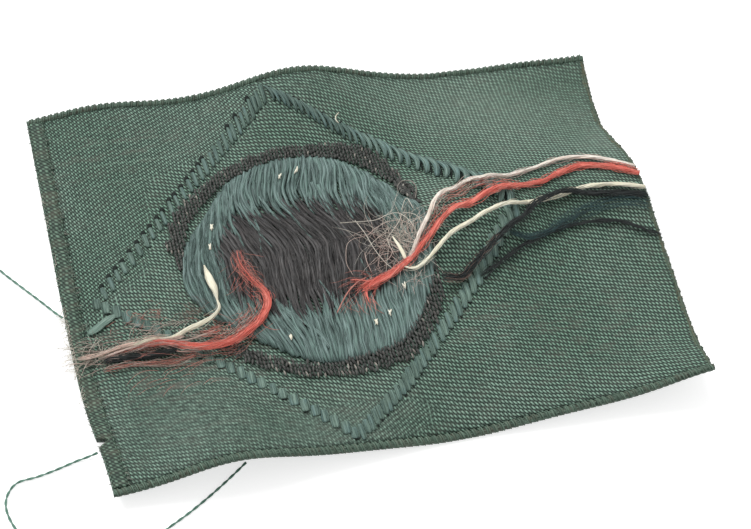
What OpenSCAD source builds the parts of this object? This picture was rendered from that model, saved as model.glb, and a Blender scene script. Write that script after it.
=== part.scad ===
// Woven cloth cap badge, lying face down with its reverse side up.
// +X runs along the ribbon, +Y across it, +Z up; the underside rests on z = 0.

/* [Ribbon] */
// Length of the piece of ribbon, from its turned end to its cut end
ribbon_length = 55.4; // [52:0.2:70]
// Width of the ribbon over both selvedges
ribbon_width = 41.4; // [41:0.2:60]
// Thickness of the woven ground cloth
cloth_thickness = 0.45; // [0.35:0.05:0.7]
// Diameter of the corded selvedge along each long edge
selvedge_diameter = 0.6; // [0.45:0.05:0.8]
// Width of the strip that is turned in at the left end
turned_width = 1.6; // [1.0:0.1:2.4]
// Thickness of the turned strip
turned_thickness = 0.3; // [0.2:0.05:0.5]
// Place of the small slit in the turned strip, across the ribbon
slit_place = -15; // [-17:0.5:-11]
// Width of the slit
slit_width = 0.4; // [0.2:0.1:0.8]
// Width of the line of cut yarn ends at the right end
cut_width = 0.4; // [0.3:0.05:0.8]

/* [Badge] */
// Distance from the badge's centre to the ribbon's, towards the turned end
badge_offset = 5.1; // [4.5:0.1:5.5]
// Diagonal of the diamond, tip to tip
diamond_diagonal = 40; // [36:0.2:40]
// Length of one float of the diamond
border_float_length = 1.9; // [1.2:0.1:2.2]
// Diameter of one float of the diamond
border_float_diameter = 0.45; // [0.3:0.05:0.55]
// Spacing of the diamond's floats along the ribbon
border_pitch = 0.8; // [0.75:0.05:1.2]
// Width of the pale strip at the diamond's left tip
strip_width = 0.8; // [0.5:0.1:1.2]
// Distance of the pale strip's middle below the diamond's tip
strip_place = 3.2; // [2.8:0.1:4]
// Thickness of the pale strip
strip_thickness = 0.2; // [0.1:0.05:0.4]
// Outer diameter of the black ring
ring_diameter = 26; // [25.6:0.2:27]
// Width of the black ring
ring_width = 1.5; // [1.0:0.1:1.8]
// Diameter of one float of the ring
ring_float_diameter = 0.4; // [0.3:0.05:0.45]
// Spacing of the ring's floats along the ribbon
ring_pitch = 0.5; // [0.5:0.05:0.7]
// Length of the loose yarn ends where the ring's upper arc stops
loose_end_length = 1.8; // [1:0.1:2.4]
// Height of one float of the disc
disc_float_height = 0.45; // [0.35:0.05:0.6]
// Width of one float of the disc
disc_float_width = 0.55; // [0.4:0.05:0.6]
// Spacing of the disc's floats along the ribbon
disc_pitch = 0.66; // [0.66:0.02:0.9]
// Length of the black patch in the disc, along the ribbon
patch_length = 15.6; // [12:0.2:18]
// Width of the black patch in the disc, across the ribbon
patch_width = 12.6; // [10:0.2:14]
// Diameter of a tie stitch on the disc
tie_diameter = 0.3; // [0.2:0.05:0.4]

/* [Face side] */
// Thickness of the woven figure on the face side
face_thickness = 0.2; // [0.1:0.02:0.22]
// Outer diameter of the white ring on the face side
face_white_diameter = 18; // [16:0.2:20]
// Diameter of the red centre on the face side
face_red_diameter = 10; // [8:0.2:13]
// Width of the diamond's border on the face side
face_border_width = 1.2; // [0.8:0.1:1.6]

/* [Yarn tails] */
// Diameter of a coloured yarn tail
tail_diameter = 0.5; // [0.35:0.05:0.55]
// Diameter of a black or green yarn tail
dark_tail_diameter = 0.45; // [0.35:0.05:0.5]
// Diameter of a loose ground thread
thread_diameter = 0.3; // [0.2:0.02:0.4]

/* [Hidden] */

half_length = ribbon_length / 2;
half_width = ribbon_width / 2;
// Clearance under everything that lies on, over or under the cloth
seat_gap = 0.1;
// Clearance between two edges that meet side by side
edge_gap = 0.05;
// Longest stretch that one straight facet spans
facet = 2;

// Height of the flat cloth above what it lies on
rest_level = 1.4;
// Ripples of the cloth: [height, place along and across as shares of the half sizes,
// reach along, reach across]
ripples = [
    [2.5, -0.07, 1.02, 7, 9],
    [1.2, -0.76, 1.02, 6, 9],
    [0.6, -0.25, 0, 12, 14],
    [2.8, 0.36, 0.05, 7, 6],
    [1.4, 0.94, 0.1, 9, 6],
    [3.4, 1.05, -1.16, 7, 7],
    [2.0, -0.58, -1.06, 6, 8],
    [-1.5, 0.5, 0.97, 8, 8],
    [-1.7, 0.14, -1.1, 8, 6],
    [-2.2, -1.05, -0.2, 5, 12],
    [-1.8, 1.0, 0.68, 8, 6]];
// Places where the outline is pulled in: [shift along, shift across,
// place along and across as shares of the half sizes, reach]
pulls = [
    [0, -1.2, 1, 1, 9],
    [-1.1, 0, 1, -1, 9],
    [1.1, 0, -1, -1, 8],
    [-0.6, 0, 1, 0.58, 6]];

function total(list) = [for (x = list) 1] * list;
function bell(x, y) = exp(-x * x - y * y);
function ripple(r, u, v) = r[0] * bell((u - r[1] * half_length) / r[3], (v - r[2] * half_width) / r[4]);
function pull(p, u, v) = bell((u - p[2] * half_length) / p[4], (v - p[3] * half_width) / p[4]) * [p[0], p[1]];
// Height of the cloth's underside at a place on the flat ribbon
function cloth_z(u, v) = max(0, rest_level + total([for (r = ripples) ripple(r, u, v)]));
// Point above the cloth's underside for a place on the flat ribbon
function at(u, v, lift = 0) =
    let (shift = total([for (p = pulls) pull(p, u, v)])) [u + shift[0], v + shift[1], cloth_z(u, v) + lift];

// ---- shells that follow the cloth ----

// A closed slab between two lifts, over a grid of places on the ribbon
module slab(us, vs, low, high) {
    nu = len(us);
    nv = len(vs);
    layer = nu * nv;
    function id(i, j, top) = (top ? layer : 0) + i * nv + j;
    points = [
        for (lift = [low, high]) for (u = us) for (v = vs) at(u, v, lift)];
    faces = concat(
        [for (i = [0:nu - 2]) for (j = [0:nv - 2]) each [
            [id(i, j, true), id(i, j + 1, true), id(i + 1, j + 1, true)],
            [id(i, j, true), id(i + 1, j + 1, true), id(i + 1, j, true)],
            [id(i, j, false), id(i + 1, j + 1, false), id(i, j + 1, false)],
            [id(i, j, false), id(i + 1, j, false), id(i + 1, j + 1, false)]]],
        [for (i = [0:nu - 2]) each [
            [id(i, 0, false), id(i, 0, true), id(i + 1, 0, true)],
            [id(i, 0, false), id(i + 1, 0, true), id(i + 1, 0, false)],
            [id(i, nv - 1, false), id(i + 1, nv - 1, true), id(i, nv - 1, true)],
            [id(i, nv - 1, false), id(i + 1, nv - 1, false), id(i + 1, nv - 1, true)]]],
        [for (j = [0:nv - 2]) each [
            [id(0, j, false), id(0, j + 1, true), id(0, j, true)],
            [id(0, j, false), id(0, j + 1, false), id(0, j + 1, true)],
            [id(nu - 1, j, false), id(nu - 1, j, true), id(nu - 1, j + 1, true)],
            [id(nu - 1, j, false), id(nu - 1, j + 1, true), id(nu - 1, j + 1, false)]]]);
    polyhedron(points, faces, convexity = 8);
}

// Evenly spaced places from a to b, no further apart than step
function steps(a, b, step) = let (n = max(1, ceil((b - a) / step))) [for (i = [0:n]) a + (b - a) * i / n];

// A closed band between two outlines on the ribbon, each a list of places
module band(inner, outer, low, high) {
    n = len(inner);
    points = [for (line = [inner, outer]) for (lift = [low, high]) for (p = line) at(p[0], p[1], lift)];
    function wall(a, b, i) = let (k = (i + 1) % n) [
        [a * n + i, b * n + i, b * n + k],
        [a * n + i, b * n + k, a * n + k]];
    polyhedron(points, [for (i = [0:n - 1]) each concat(
        wall(0, 1, i), wall(1, 3, i), wall(3, 2, i), wall(2, 0, i))], convexity = 8);
}

// A closed round plate of one ring and a middle point
function circle_places(radius, count, centre) =
    [for (i = [0:count - 1]) centre + radius * [cos(360 * i / count), sin(360 * i / count)]];

module plate(radii, count, centre, low, high) {
    rings = len(radii);
    layer = 1 + rings * count;
    function id(r, i, top) = (top ? layer : 0) + (r == 0 ? 0 : 1 + (r - 1) * count + i % count);
    points = [for (lift = [low, high]) each concat(
        [at(centre[0], centre[1], lift)],
        [for (r = radii) for (p = circle_places(r, count, centre)) at(p[0], p[1], lift)])];
    faces = [for (i = [0:count - 1]) each concat(
        [[id(0, 0, true), id(1, i + 1, true), id(1, i, true)],
         [id(0, 0, false), id(1, i, false), id(1, i + 1, false)],
         [id(rings, i, false), id(rings, i, true), id(rings, i + 1, true)],
         [id(rings, i, false), id(rings, i + 1, true), id(rings, i + 1, false)]],
        [for (r = [1:1:rings - 1]) each [
            [id(r, i, true), id(r, i + 1, true), id(r + 1, i + 1, true)],
            [id(r, i, true), id(r + 1, i + 1, true), id(r + 1, i, true)],
            [id(r, i, false), id(r + 1, i + 1, false), id(r, i + 1, false)],
            [id(r, i, false), id(r + 1, i, false), id(r + 1, i + 1, false)]]])];
    polyhedron(points, faces, convexity = 8);
}

// ---- yarns ----

// Smooth curve through a route's points, with so many steps between two points
function blend(a, b, c, d, t) = 0.5 * (2 * b + (c - a) * t + (2 * a - 5 * b + 4 * c - d) * t * t
    + (3 * b - a - 3 * c + d) * t * t * t);
function smooth(p, count) = let (n = len(p)) concat(
    [for (i = [0:n - 2]) for (k = [0:count - 1])
        blend(p[max(0, i - 1)], p[i], p[i + 1], p[min(n - 1, i + 2)], k / count)],
    [p[n - 1]]);
function unit(a) = a / norm(a);

// A tube of so many sides along a line of points, as one closed solid;
// swell gives its width at each ring as a share of the full width
module tube(line, width, height, sides, swell) {
    n = len(line);
    points = [for (i = [0:n - 1])
        let (along = unit(line[min(n - 1, i + 1)] - line[max(0, i - 1)]),
             side = unit(cross(along, [0, 0, 1])),
             up = cross(side, along))
        for (k = [0:sides - 1])
            line[i] + swell[i] * (side * width * cos(360 * k / sides) + up * height * sin(360 * k / sides)) / 2];
    faces = concat(
        [[for (k = [0:sides - 1]) k]],
        [for (i = [0:n - 2]) for (k = [0:sides - 1]) let (m = (k + 1) % sides) each [
            [i * sides + k, (i + 1) * sides + k, (i + 1) * sides + m],
            [i * sides + k, (i + 1) * sides + m, i * sides + m]]],
        [[for (k = [sides - 1:-1:0]) (n - 1) * sides + k]]);
    polyhedron(points, faces, convexity = 8);
}

// A yarn along a route of [along, across, lift above the cloth's upper side]
function laid(route) = [for (p = route) at(p[0], p[1], cloth_thickness + p[2])];
module yarn(line, diameter, count) {
    path = smooth(line, count);
    tube(path, diameter, diameter, 8, [for (p = path) 1]);
}

// One short float between two points: a yarn of five sides with pointed ends
module float_yarn(a, b, diameter) {
    sides = 5;
    along = unit(b - a);
    side = unit(cross(along, [0, 0, 1]));
    up = cross(side, along);
    tip = min(diameter, norm(b - a) / 3);
    function rim(middle) = [for (k = [0:sides - 1])
        middle + (side * sin(360 * k / sides) + up * cos(360 * k / sides)) * diameter / 2];
    points = concat([a], rim(a + along * tip), rim(b - along * tip), [b]);
    last = 2 * sides + 1;
    polyhedron(points, [for (k = [0:sides - 1]) let (m = (k + 1) % sides, i = 1 + k, j = 1 + m) each [
        [0, i, j],
        [i, i + sides, j + sides],
        [i, j + sides, j],
        [i + sides, last, j + sides]]]);
}

// A float between two places on the ribbon, seated on the cloth
module seated_float(p, q, diameter) {
    lift = cloth_thickness + seat_gap + diameter / 2;
    float_yarn(at(p[0], p[1], lift), at(q[0], q[1], lift), diameter);
}

// A long float across the disc, from v0 to v1, that sways with its neighbours
function sway(v) = 0.25 * sin(34 * v) + 0.12 * sin(83 * v + 40);
module disc_float(u, v0, v1) {
    lift = cloth_thickness + seat_gap + disc_float_height / 2;
    places = steps(v0, v1, facet);
    line = [for (v = places) at(u + sway(v), v, lift)];
    last = len(line) - 1;
    tube(line, disc_float_width, disc_float_height, 5, [for (i = [0:last]) i == 0 || i == last ? 0.5 : 1]);
}

// ---- places of the badge ----

centre = [-badge_offset, 0];
ring_radius = ring_diameter / 2;
disc_radius = ring_radius - ring_width - seat_gap;
tip_reach = diamond_diagonal / 2;

// Routes of the yarn tails: [along, across, lift of the yarn's middle above the cloth]
on_cloth = seat_gap + tail_diameter / 2;
on_floats = 2 * seat_gap + disc_float_height + tail_diameter / 2;
over_yarn = on_cloth + seat_gap + tail_diameter;
right_white_upper_route = [
    [3.0, -2.6, on_floats], [3.7, -2.0, on_floats], [4.6, -0.9, on_floats], [5.4, 0.3, on_floats],
    [6.2, 1.5, on_floats], [7.4, 2.5, on_floats], [8.9, 3.0, on_cloth], [10.2, 3.3, on_floats],
    [11.5, 3.6, on_floats], [12.9, 3.8, on_floats], [14.6, 4.2, on_cloth], [16.4, 4.6, on_cloth],
    [18.2, 5.3, on_cloth], [20.0, 5.8, on_cloth], [22.2, 5.7, on_cloth], [24.4, 5.0, on_cloth],
    [26.0, 4.1, on_cloth], [27.4, 3.2, on_cloth]];
right_red_route = [
    [-1.4, -5.4, on_floats], [-0.2, -4.9, on_floats], [1.4, -4.4, on_floats], [2.7, -3.7, on_floats],
    [3.9, -3.0, on_floats], [5.9, -1.5, on_floats], [8.0, 0.1, on_floats], [10.6, 1.0, on_cloth],
    [12.2, 1.6, on_floats], [13.9, 2.2, on_floats], [16.0, 2.8, on_cloth], [18.3, 3.2, on_cloth],
    [20.1, 4.0, on_cloth], [22.3, 4.4, on_cloth], [24.6, 3.8, on_cloth], [26.0, 3.1, on_cloth],
    [27.5, 2.2, on_cloth]];
right_white_lower_route = [
    [2.9, -4.7, on_floats], [3.8, -4.5, on_floats], [4.7, -3.9, on_floats], [6.3, -2.9, on_floats],
    [8.3, -1.6, on_floats], [10.6, -0.6, on_cloth], [12.4, -0.1, on_floats], [14.1, 0.3, on_floats],
    [15.8, 0.6, on_cloth], [17.4, 1.0, on_cloth], [19.2, 1.6, on_cloth], [21.0, 2.0, on_cloth],
    [22.8, 1.9, on_cloth], [25.0, 1.3, on_cloth], [27.5, 0.6, on_cloth]];
right_black_upper_route = [
    [5.9, -5.5, on_floats], [6.8, -5.9, on_floats], [7.8, -5.7, on_cloth], [8.9, -5.1, on_floats],
    [10.2, -4.3, on_floats], [11.6, -3.2, on_floats], [13.2, -1.9, on_floats], [15.0, -0.6, on_cloth],
    [16.3, 0.3, over_yarn], [17.8, 1.1, over_yarn], [19.4, 1.2, over_yarn], [21.4, 0.8, on_cloth],
    [23.2, 0.5, on_cloth], [25.2, 0.1, on_cloth], [27.5, -0.5, on_cloth]];
right_green_route = [
    [13.6, -2.6, on_cloth], [15.2, -2.6, on_cloth], [16.8, -2.2, on_cloth], [18.2, -1.5, on_cloth],
    [19.8, -0.9, on_cloth], [22.0, -0.5, on_cloth], [24.2, -0.7, on_cloth], [25.8, -1.1, on_cloth],
    [27.5, -1.6, on_cloth]];
right_black_lower_route = [
    [10.0, -6.2, on_cloth], [11.2, -5.4, on_cloth], [12.9, -4.5, on_cloth], [15.2, -3.6, on_cloth],
    [18.1, -2.6, on_cloth], [20.3, -2.0, on_cloth], [22.6, -2.2, on_cloth], [24.7, -3.0, on_cloth],
    [27.5, -4.5, on_cloth]];
left_white_route = [
    [-14.6, 0.6, on_floats], [-14.4, -1.3, on_floats], [-14.3, -3.0, on_floats], [-14.4, -4.4, on_floats],
    [-15.0, -5.4, on_floats], [-16.2, -6.0, on_floats], [-17.7, -6.1, on_floats], [-19.2, -6.0, on_cloth],
    [-21.0, -5.9, on_floats], [-23.0, -5.6, on_cloth], [-25.2, -5.5, on_cloth]];
left_red_route = [
    [-11.7, 1.0, on_floats], [-11.5, -0.6, on_floats], [-10.9, -2.2, on_floats], [-10.2, -3.9, on_floats],
    [-10.5, -5.3, on_floats], [-11.6, -6.6, on_floats], [-13.0, -7.7, on_floats], [-14.6, -8.1, on_floats],
    [-16.3, -7.9, on_floats], [-18.0, -7.4, on_floats], [-19.6, -7.0, on_floats], [-21.2, -6.7, on_floats],
    [-22.9, -6.4, on_cloth], [-24.9, -6.3, on_cloth]];
left_frayed_route = [
    [-17.6, -8.9, on_floats], [-19.2, -9.1, on_cloth], [-20.9, -8.9, on_cloth], [-23.2, -8.4, on_cloth],
    [-25.4, -8.1, on_cloth]];
left_black_route = [
    [-18.9, -8.0, on_floats], [-21.0, -7.6, on_cloth], [-23.1, -7.3, on_cloth], [-25.2, -7.1, on_cloth]];

// Routes of the two loose threads, which lie on the table: [along, across, height]
on_table = thread_diameter / 2 + 0.01;
left_thread_route = [
    [-27.9, -1.2, on_table + 0.3], [-28.5, -0.3, on_table + 0.1], [-29.6, 1.3, on_table], [-31.1, 3.3, on_table],
    [-32.6, 5.4, on_table], [-33.6, 7.4, on_table], [-34.2, 9.6, on_table], [-34.2, 11.8, on_table],
    [-33.7, 14.0, on_table], [-33.6, 16.2, on_table], [-34.4, 18.1, on_table], [-36.0, 18.8, on_table],
    [-37.3, 17.8, on_table], [-37.6, 15.8, on_table], [-37.1, 13.8, on_table], [-36.6, 11.8, on_table]];
loop_thread_route = [
    [-27.2, -15.6, on_table + 0.3], [-28.0, -15.7, on_table + 0.1], [-29.2, -15.9, on_table],
    [-31.1, -16.4, on_table], [-32.6, -16.7, on_table], [-34.2, -16.9, on_table], [-35.1, -17.7, on_table],
    [-35.5, -18.8, on_table], [-35.4, -20.1, on_table], [-34.9, -21.5, on_table], [-33.9, -23.1, on_table],
    [-32.4, -24.5, on_table], [-30.2, -25.5, on_table], [-27.8, -25.7, on_table], [-25.2, -25.1, on_table],
    [-22.8, -23.9, on_table], [-20.7, -22.8, on_table], [-18.4, -21.4, on_table], [-16.5, -20.1, on_table],
    [-15.0, -19.0, on_table]];

// ---- the ribbon ----

inner_half_width = half_width - selvedge_diameter - edge_gap;
inner_right = half_length - cut_width - edge_gap;

module ground_cloth() {
    color("#4f6658") slab(steps(-half_length, inner_right, facet),
        steps(-inner_half_width, inner_half_width, facet), 0, cloth_thickness);
}

module selvedge(side) {
    v = side * (half_width - selvedge_diameter / 2);
    line = [for (u = steps(-half_length, half_length, facet)) at(u, v, selvedge_diameter / 2)];
    color("#3d4f43") tube(line, selvedge_diameter, selvedge_diameter, 8, [for (p = line) 1]);
}
module upper_selvedge() selvedge(1);
module lower_selvedge() selvedge(-1);

module turned_left_end() {
    low = cloth_thickness + seat_gap;
    us = [-half_length + edge_gap, -half_length + turned_width];
    for (vs = [[-inner_half_width, slit_place - slit_width / 2], [slit_place + slit_width / 2, inner_half_width]])
        color("#5a6a58") slab(us, steps(vs[0], vs[1], facet), low, low + turned_thickness);
}

module right_cut_edge() {
    color("#6b5f4c") slab([inner_right + edge_gap, half_length],
        steps(-inner_half_width, inner_half_width, facet), 0, cloth_thickness);
}

// ---- the diamond ----

// One side of the diamond: floats that step from the left or right tip to the top or bottom one
module diamond_side(right, top, lean) {
    count = floor((tip_reach - border_float_length) / border_pitch);
    long = border_float_length;
    for (i = [1:count]) {
        u = i * border_pitch;
        v = tip_reach - u;
        foot = v - long;
        if (foot > -long / 2)
            color("#4f6a66") seated_float(centre + [right * (u - lean / 2), top * foot],
                centre + [right * (u + lean / 2), top * v], border_float_diameter);
    }
}
module diamond_upper_left_floats() diamond_side(-1, 1, 0);
module diamond_upper_right_floats() diamond_side(1, 1, -0.3);
module diamond_lower_right_floats() diamond_side(1, -1, -0.2);
module diamond_lower_left_floats() diamond_side(-1, -1, 0);

// A pale flat float from the turned strip to the diamond's lower left side
module diamond_left_strip() {
    low = cloth_thickness + seat_gap;
    start = -half_length + turned_width + seat_gap;
    color("#8f9b8d") slab(steps(start, centre[0] - tip_reach + border_float_length, facet),
        [-strip_place - strip_width / 2, -strip_place + strip_width / 2], low, low + strip_thickness);
}

// ---- the ring and the disc ----

function chord(radius, x) = abs(x) < radius ? sqrt(radius * radius - x * x) : 0;

// Floats of the ring in one column, from v0 to v1, cut into short lengths
module ring_column(u, v0, v1, longest) {
    if (v1 - v0 > 2 * ring_float_diameter) {
        ends = steps(v0, v1, longest);
        for (k = [0:len(ends) - 2])
            color("#303332") seated_float(centre + [u, ends[k] + edge_gap], centre + [u, ends[k + 1] - edge_gap],
                ring_float_diameter);
    }
}

module ring_arc(top, first, last) {
    inner = ring_radius - ring_width;
    for (u = steps(first, last, ring_pitch * 1.02)) {
        v0 = max(chord(inner, u), 0.4);
        v1 = chord(ring_radius, u);
        if (top > 0)
            ring_column(u, v0, v1, facet);
        else
            ring_column(u, -v1, -v0, facet);
    }
}
module ring_upper_floats() ring_arc(1, -ring_radius, ring_radius * 0.85);
module ring_lower_floats() ring_arc(-1, -ring_radius * 0.72, ring_radius * 0.97);

// Loose black ends where the upper arc of the ring stops
module ring_frayed_end() {
    root = centre + ring_radius * [0.9, 0.3];
    for (spread = [-1:1])
        color("#2a2c2c") seated_float(root + [spread * ring_pitch, 0],
            root + [(spread + 0.4) * ring_pitch, -loose_end_length * (1 + 0.2 * spread)], ring_float_diameter);
}

// Edges of the black patch in one column; neighbours end in a ragged line
patch_centre = [0.2, -0.3];
function ragged(i) = 0.5 * (i % 2) + 0.7 * ((i * 2) % 3);
function patch_reach(u) = patch_width / 2 * chord(1, (u - patch_centre[0]) / (patch_length / 2));
columns = floor((disc_radius - disc_pitch / 2) / disc_pitch);

module disc_columns(green) {
    for (i = [-columns:columns]) {
        u = i * disc_pitch;
        edge = chord(disc_radius, u) - seat_gap;
        wave = ragged(abs(i));
        reach = patch_reach(u) - wave;
        low = patch_centre[1] - reach;
        high = patch_centre[1] + reach;
        if (reach > 1) {
            if (green) {
                disc_float(centre[0] + u, -edge, low - seat_gap);
                disc_float(centre[0] + u, high + seat_gap, edge);
            } else
                disc_float(centre[0] + u, low, high);
        } else if (green)
            disc_float(centre[0] + u, -edge, edge);
    }
}
module disc_green_floats() color("#4c6a68") disc_columns(true);
module disc_black_floats() color("#303232") disc_columns(false);

// White tie stitches on top of the disc, as places from the badge's centre
tie_places = [[-0.8, 8.7], [0.9, 9.1], [-8.1, 4.5], [-7.0, 2.2], [-3.8, -9.0], [4.0, -8.9], [5.6, -8.0], [7.4, -6.2]];
module tie_stitches() {
    lift = cloth_thickness + 2 * seat_gap + disc_float_height + tie_diameter / 2;
    for (p = tie_places)
        color("#d9d8c0") float_yarn(at(centre[0] + p[0] - 0.25, p[1] - 0.2, lift),
            at(centre[0] + p[0] + 0.25, p[1] + 0.3, lift), tie_diameter);
}

// ---- the yarn tails ----

module right_white_tail_upper() color("#d8d2bd") yarn(laid(right_white_upper_route), tail_diameter, 2);
module right_red_tail() color("#c8493d") yarn(laid(right_red_route), tail_diameter, 2);
module right_white_tail_lower() color("#dedac4") yarn(laid(right_white_lower_route), tail_diameter, 2);
module right_black_tail_upper() color("#2b2d2d") yarn(laid(right_black_upper_route), dark_tail_diameter, 2);
module right_green_tail() color("#2c4640") yarn(laid(right_green_route), dark_tail_diameter, 2);
module right_black_tail_lower() color("#2b2d2d") yarn(laid(right_black_lower_route), dark_tail_diameter, 2);
module left_white_tail() color("#dedac4") yarn(laid(left_white_route), tail_diameter, 2);
module left_red_tail() color("#c8493d") yarn(laid(left_red_route), tail_diameter, 2);
module left_red_frayed_strand() color("#b5564a") yarn(laid(left_frayed_route), dark_tail_diameter, 2);
module left_black_tail() color("#2b2d2d") yarn(laid(left_black_route), dark_tail_diameter, 2);
module loose_thread_left() color("#2f6a4c") yarn(left_thread_route, thread_diameter, 3);
module loose_thread_loop() color("#2f6a4c") yarn(loop_thread_route, thread_diameter, 3);

// ---- the face side, underneath ----

face_high = -seat_gap;
face_low = -seat_gap - face_thickness;
face_sides = 40;
module face_ring(inner, outer) {
    band(circle_places(inner, face_sides, centre), circle_places(outer, face_sides, centre), face_low, face_high);
}
module face_black_ring() {
    middle = (ring_diameter + face_white_diameter) / 4;
    color("#2b2d2d") face_ring(face_white_diameter / 2 + edge_gap, ring_radius);
}
module face_white_ring() {
    color("#dedac4") face_ring(face_red_diameter / 2 + edge_gap, face_white_diameter / 2 - edge_gap);
}
module face_red_centre() {
    radius = face_red_diameter / 2 - edge_gap;
    color("#c8493d") plate([radius / 2, radius], 24, centre, face_low, face_high);
}

// Outline of the diamond, each side in so many steps
function diamond_places(reach, count) = [for (i = [0:3]) for (k = [0:count - 1])
    let (a = 90 * i, p = [cos(a), sin(a)], q = [-sin(a), cos(a)]) centre + reach * (p + (q - p) * k / count)];
module face_diamond_border() {
    outer = tip_reach - seat_gap;
    color("#4f6a66") band(diamond_places(outer - face_border_width, 14), diamond_places(outer, 14),
        face_low, face_high);
}

ground_cloth();
upper_selvedge();
lower_selvedge();
turned_left_end();
right_cut_edge();
diamond_upper_left_floats();
diamond_upper_right_floats();
diamond_lower_right_floats();
diamond_lower_left_floats();
diamond_left_strip();
ring_upper_floats();
ring_lower_floats();
ring_frayed_end();
disc_green_floats();
disc_black_floats();
tie_stitches();
right_white_tail_upper();
right_red_tail();
right_white_tail_lower();
right_black_tail_upper();
right_green_tail();
right_black_tail_lower();
left_white_tail();
left_red_tail();
left_red_frayed_strand();
left_black_tail();
loose_thread_left();
loose_thread_loop();
face_black_ring();
face_white_ring();
face_red_centre();
face_diamond_border();
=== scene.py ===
import math

import bpy
import numpy as np
from mathutils import Matrix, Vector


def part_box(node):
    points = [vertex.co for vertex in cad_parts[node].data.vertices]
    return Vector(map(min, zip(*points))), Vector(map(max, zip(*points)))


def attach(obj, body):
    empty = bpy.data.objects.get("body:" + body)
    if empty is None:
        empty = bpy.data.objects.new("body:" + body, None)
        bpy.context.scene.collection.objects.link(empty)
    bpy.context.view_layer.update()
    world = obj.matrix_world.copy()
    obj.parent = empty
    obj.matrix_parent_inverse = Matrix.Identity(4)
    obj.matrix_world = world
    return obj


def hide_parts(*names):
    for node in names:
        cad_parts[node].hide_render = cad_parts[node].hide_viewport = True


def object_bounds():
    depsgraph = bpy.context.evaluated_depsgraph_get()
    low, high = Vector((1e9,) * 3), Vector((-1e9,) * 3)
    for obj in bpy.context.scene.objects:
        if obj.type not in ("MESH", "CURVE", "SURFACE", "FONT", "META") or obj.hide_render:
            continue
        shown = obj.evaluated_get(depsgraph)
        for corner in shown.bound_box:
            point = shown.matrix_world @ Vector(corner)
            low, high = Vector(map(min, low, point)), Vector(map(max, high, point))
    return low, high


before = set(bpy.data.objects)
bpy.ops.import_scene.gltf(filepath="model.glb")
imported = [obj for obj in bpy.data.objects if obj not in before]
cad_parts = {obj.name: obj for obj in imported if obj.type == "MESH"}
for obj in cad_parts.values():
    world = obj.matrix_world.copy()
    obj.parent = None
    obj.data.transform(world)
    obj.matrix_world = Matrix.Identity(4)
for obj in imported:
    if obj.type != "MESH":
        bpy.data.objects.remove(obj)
cadLow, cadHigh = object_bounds()
mm = 0.001

# The ribbon's half sizes, in mm, read off its two selvedges
halfLength = -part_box("upper_selvedge")[0].x / mm
halfWidth = -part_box("lower_selvedge")[0].y / mm

# The cloth as the frame has it: thickness, ripples and the places where its outline is pulled in.
# Heights and reaches are in mm, places are shares of the half sizes.
cloth = {
    "thickness": 0.45,
    "restLevel": 1.4,
    "ripples": [
        (2.5, -0.07, 1.02, 7, 9), (1.2, -0.76, 1.02, 6, 9), (0.6, -0.25, 0, 12, 14),
        (2.8, 0.36, 0.05, 7, 6), (1.4, 0.94, 0.1, 9, 6), (3.4, 1.05, -1.16, 7, 7),
        (2.0, -0.58, -1.06, 6, 8), (-1.5, 0.5, 0.97, 8, 8), (-1.7, 0.14, -1.1, 8, 6),
        (-2.2, -1.05, -0.2, 5, 12), (-1.8, 1.0, 0.68, 8, 6),
    ],
    "pulls": [(0, -1.2, 1, 1, 9), (-1.1, 0, 1, -1, 9), (1.1, 0, -1, -1, 8), (-0.6, 0, 1, 0.58, 6)],
    "selvedge": 0.6,
    "turned": 1.6,
    "cut": 0.4,
    "seat": 0.1,
    "edge": 0.05,
}
# Places on the badge: its middle along and across the ribbon, the diamond's tip, the ring and the disc
badge = {"centre": -5.1, "across": -0.45, "tip": 20.0, "ring": 13.0, "disc": 11.5}
clothTop = cloth["thickness"]
# Half the width of the cloth between its selvedges
innerWidth = halfWidth - cloth["selvedge"] - cloth["edge"]
# How high a yarn lies over the cloth's upper side: on the cloth, on the disc's floats, on another yarn
lies = {"c": 0.35, "f": 0.9, "y": 0.95}


def nearness(u, v, along, across, reachU, reachV):
    # 1 at a place and less away from it, the place as shares of the half sizes
    du = (u - along * halfLength) / reachU
    dv = (v - across * halfWidth) / reachV
    return np.exp(-du * du - dv * dv)


def clothPoints(u, v, lift=0.0):
    # Points in metres over the cloth's underside, for places u along and v across the flat ribbon in mm
    u, v, lift = (np.asarray(part, float) for part in np.broadcast_arrays(u, v, lift))
    height = np.full(u.shape, cloth["restLevel"])
    for rise, *spot in cloth["ripples"]:
        height = height + rise * nearness(u, v, *spot)
    x, y = u.copy(), v.copy()
    for shiftU, shiftV, *spot, reach in cloth["pulls"]:
        share = nearness(u, v, *spot, reach, reach)
        x += shiftU * share
        y += shiftV * share
    return np.stack([x, y, np.maximum(height, 0) + lift], -1) * mm


def fill(node, values):
    for label, value in values.items():
        node.inputs[label].default_value = value
    return node


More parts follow.
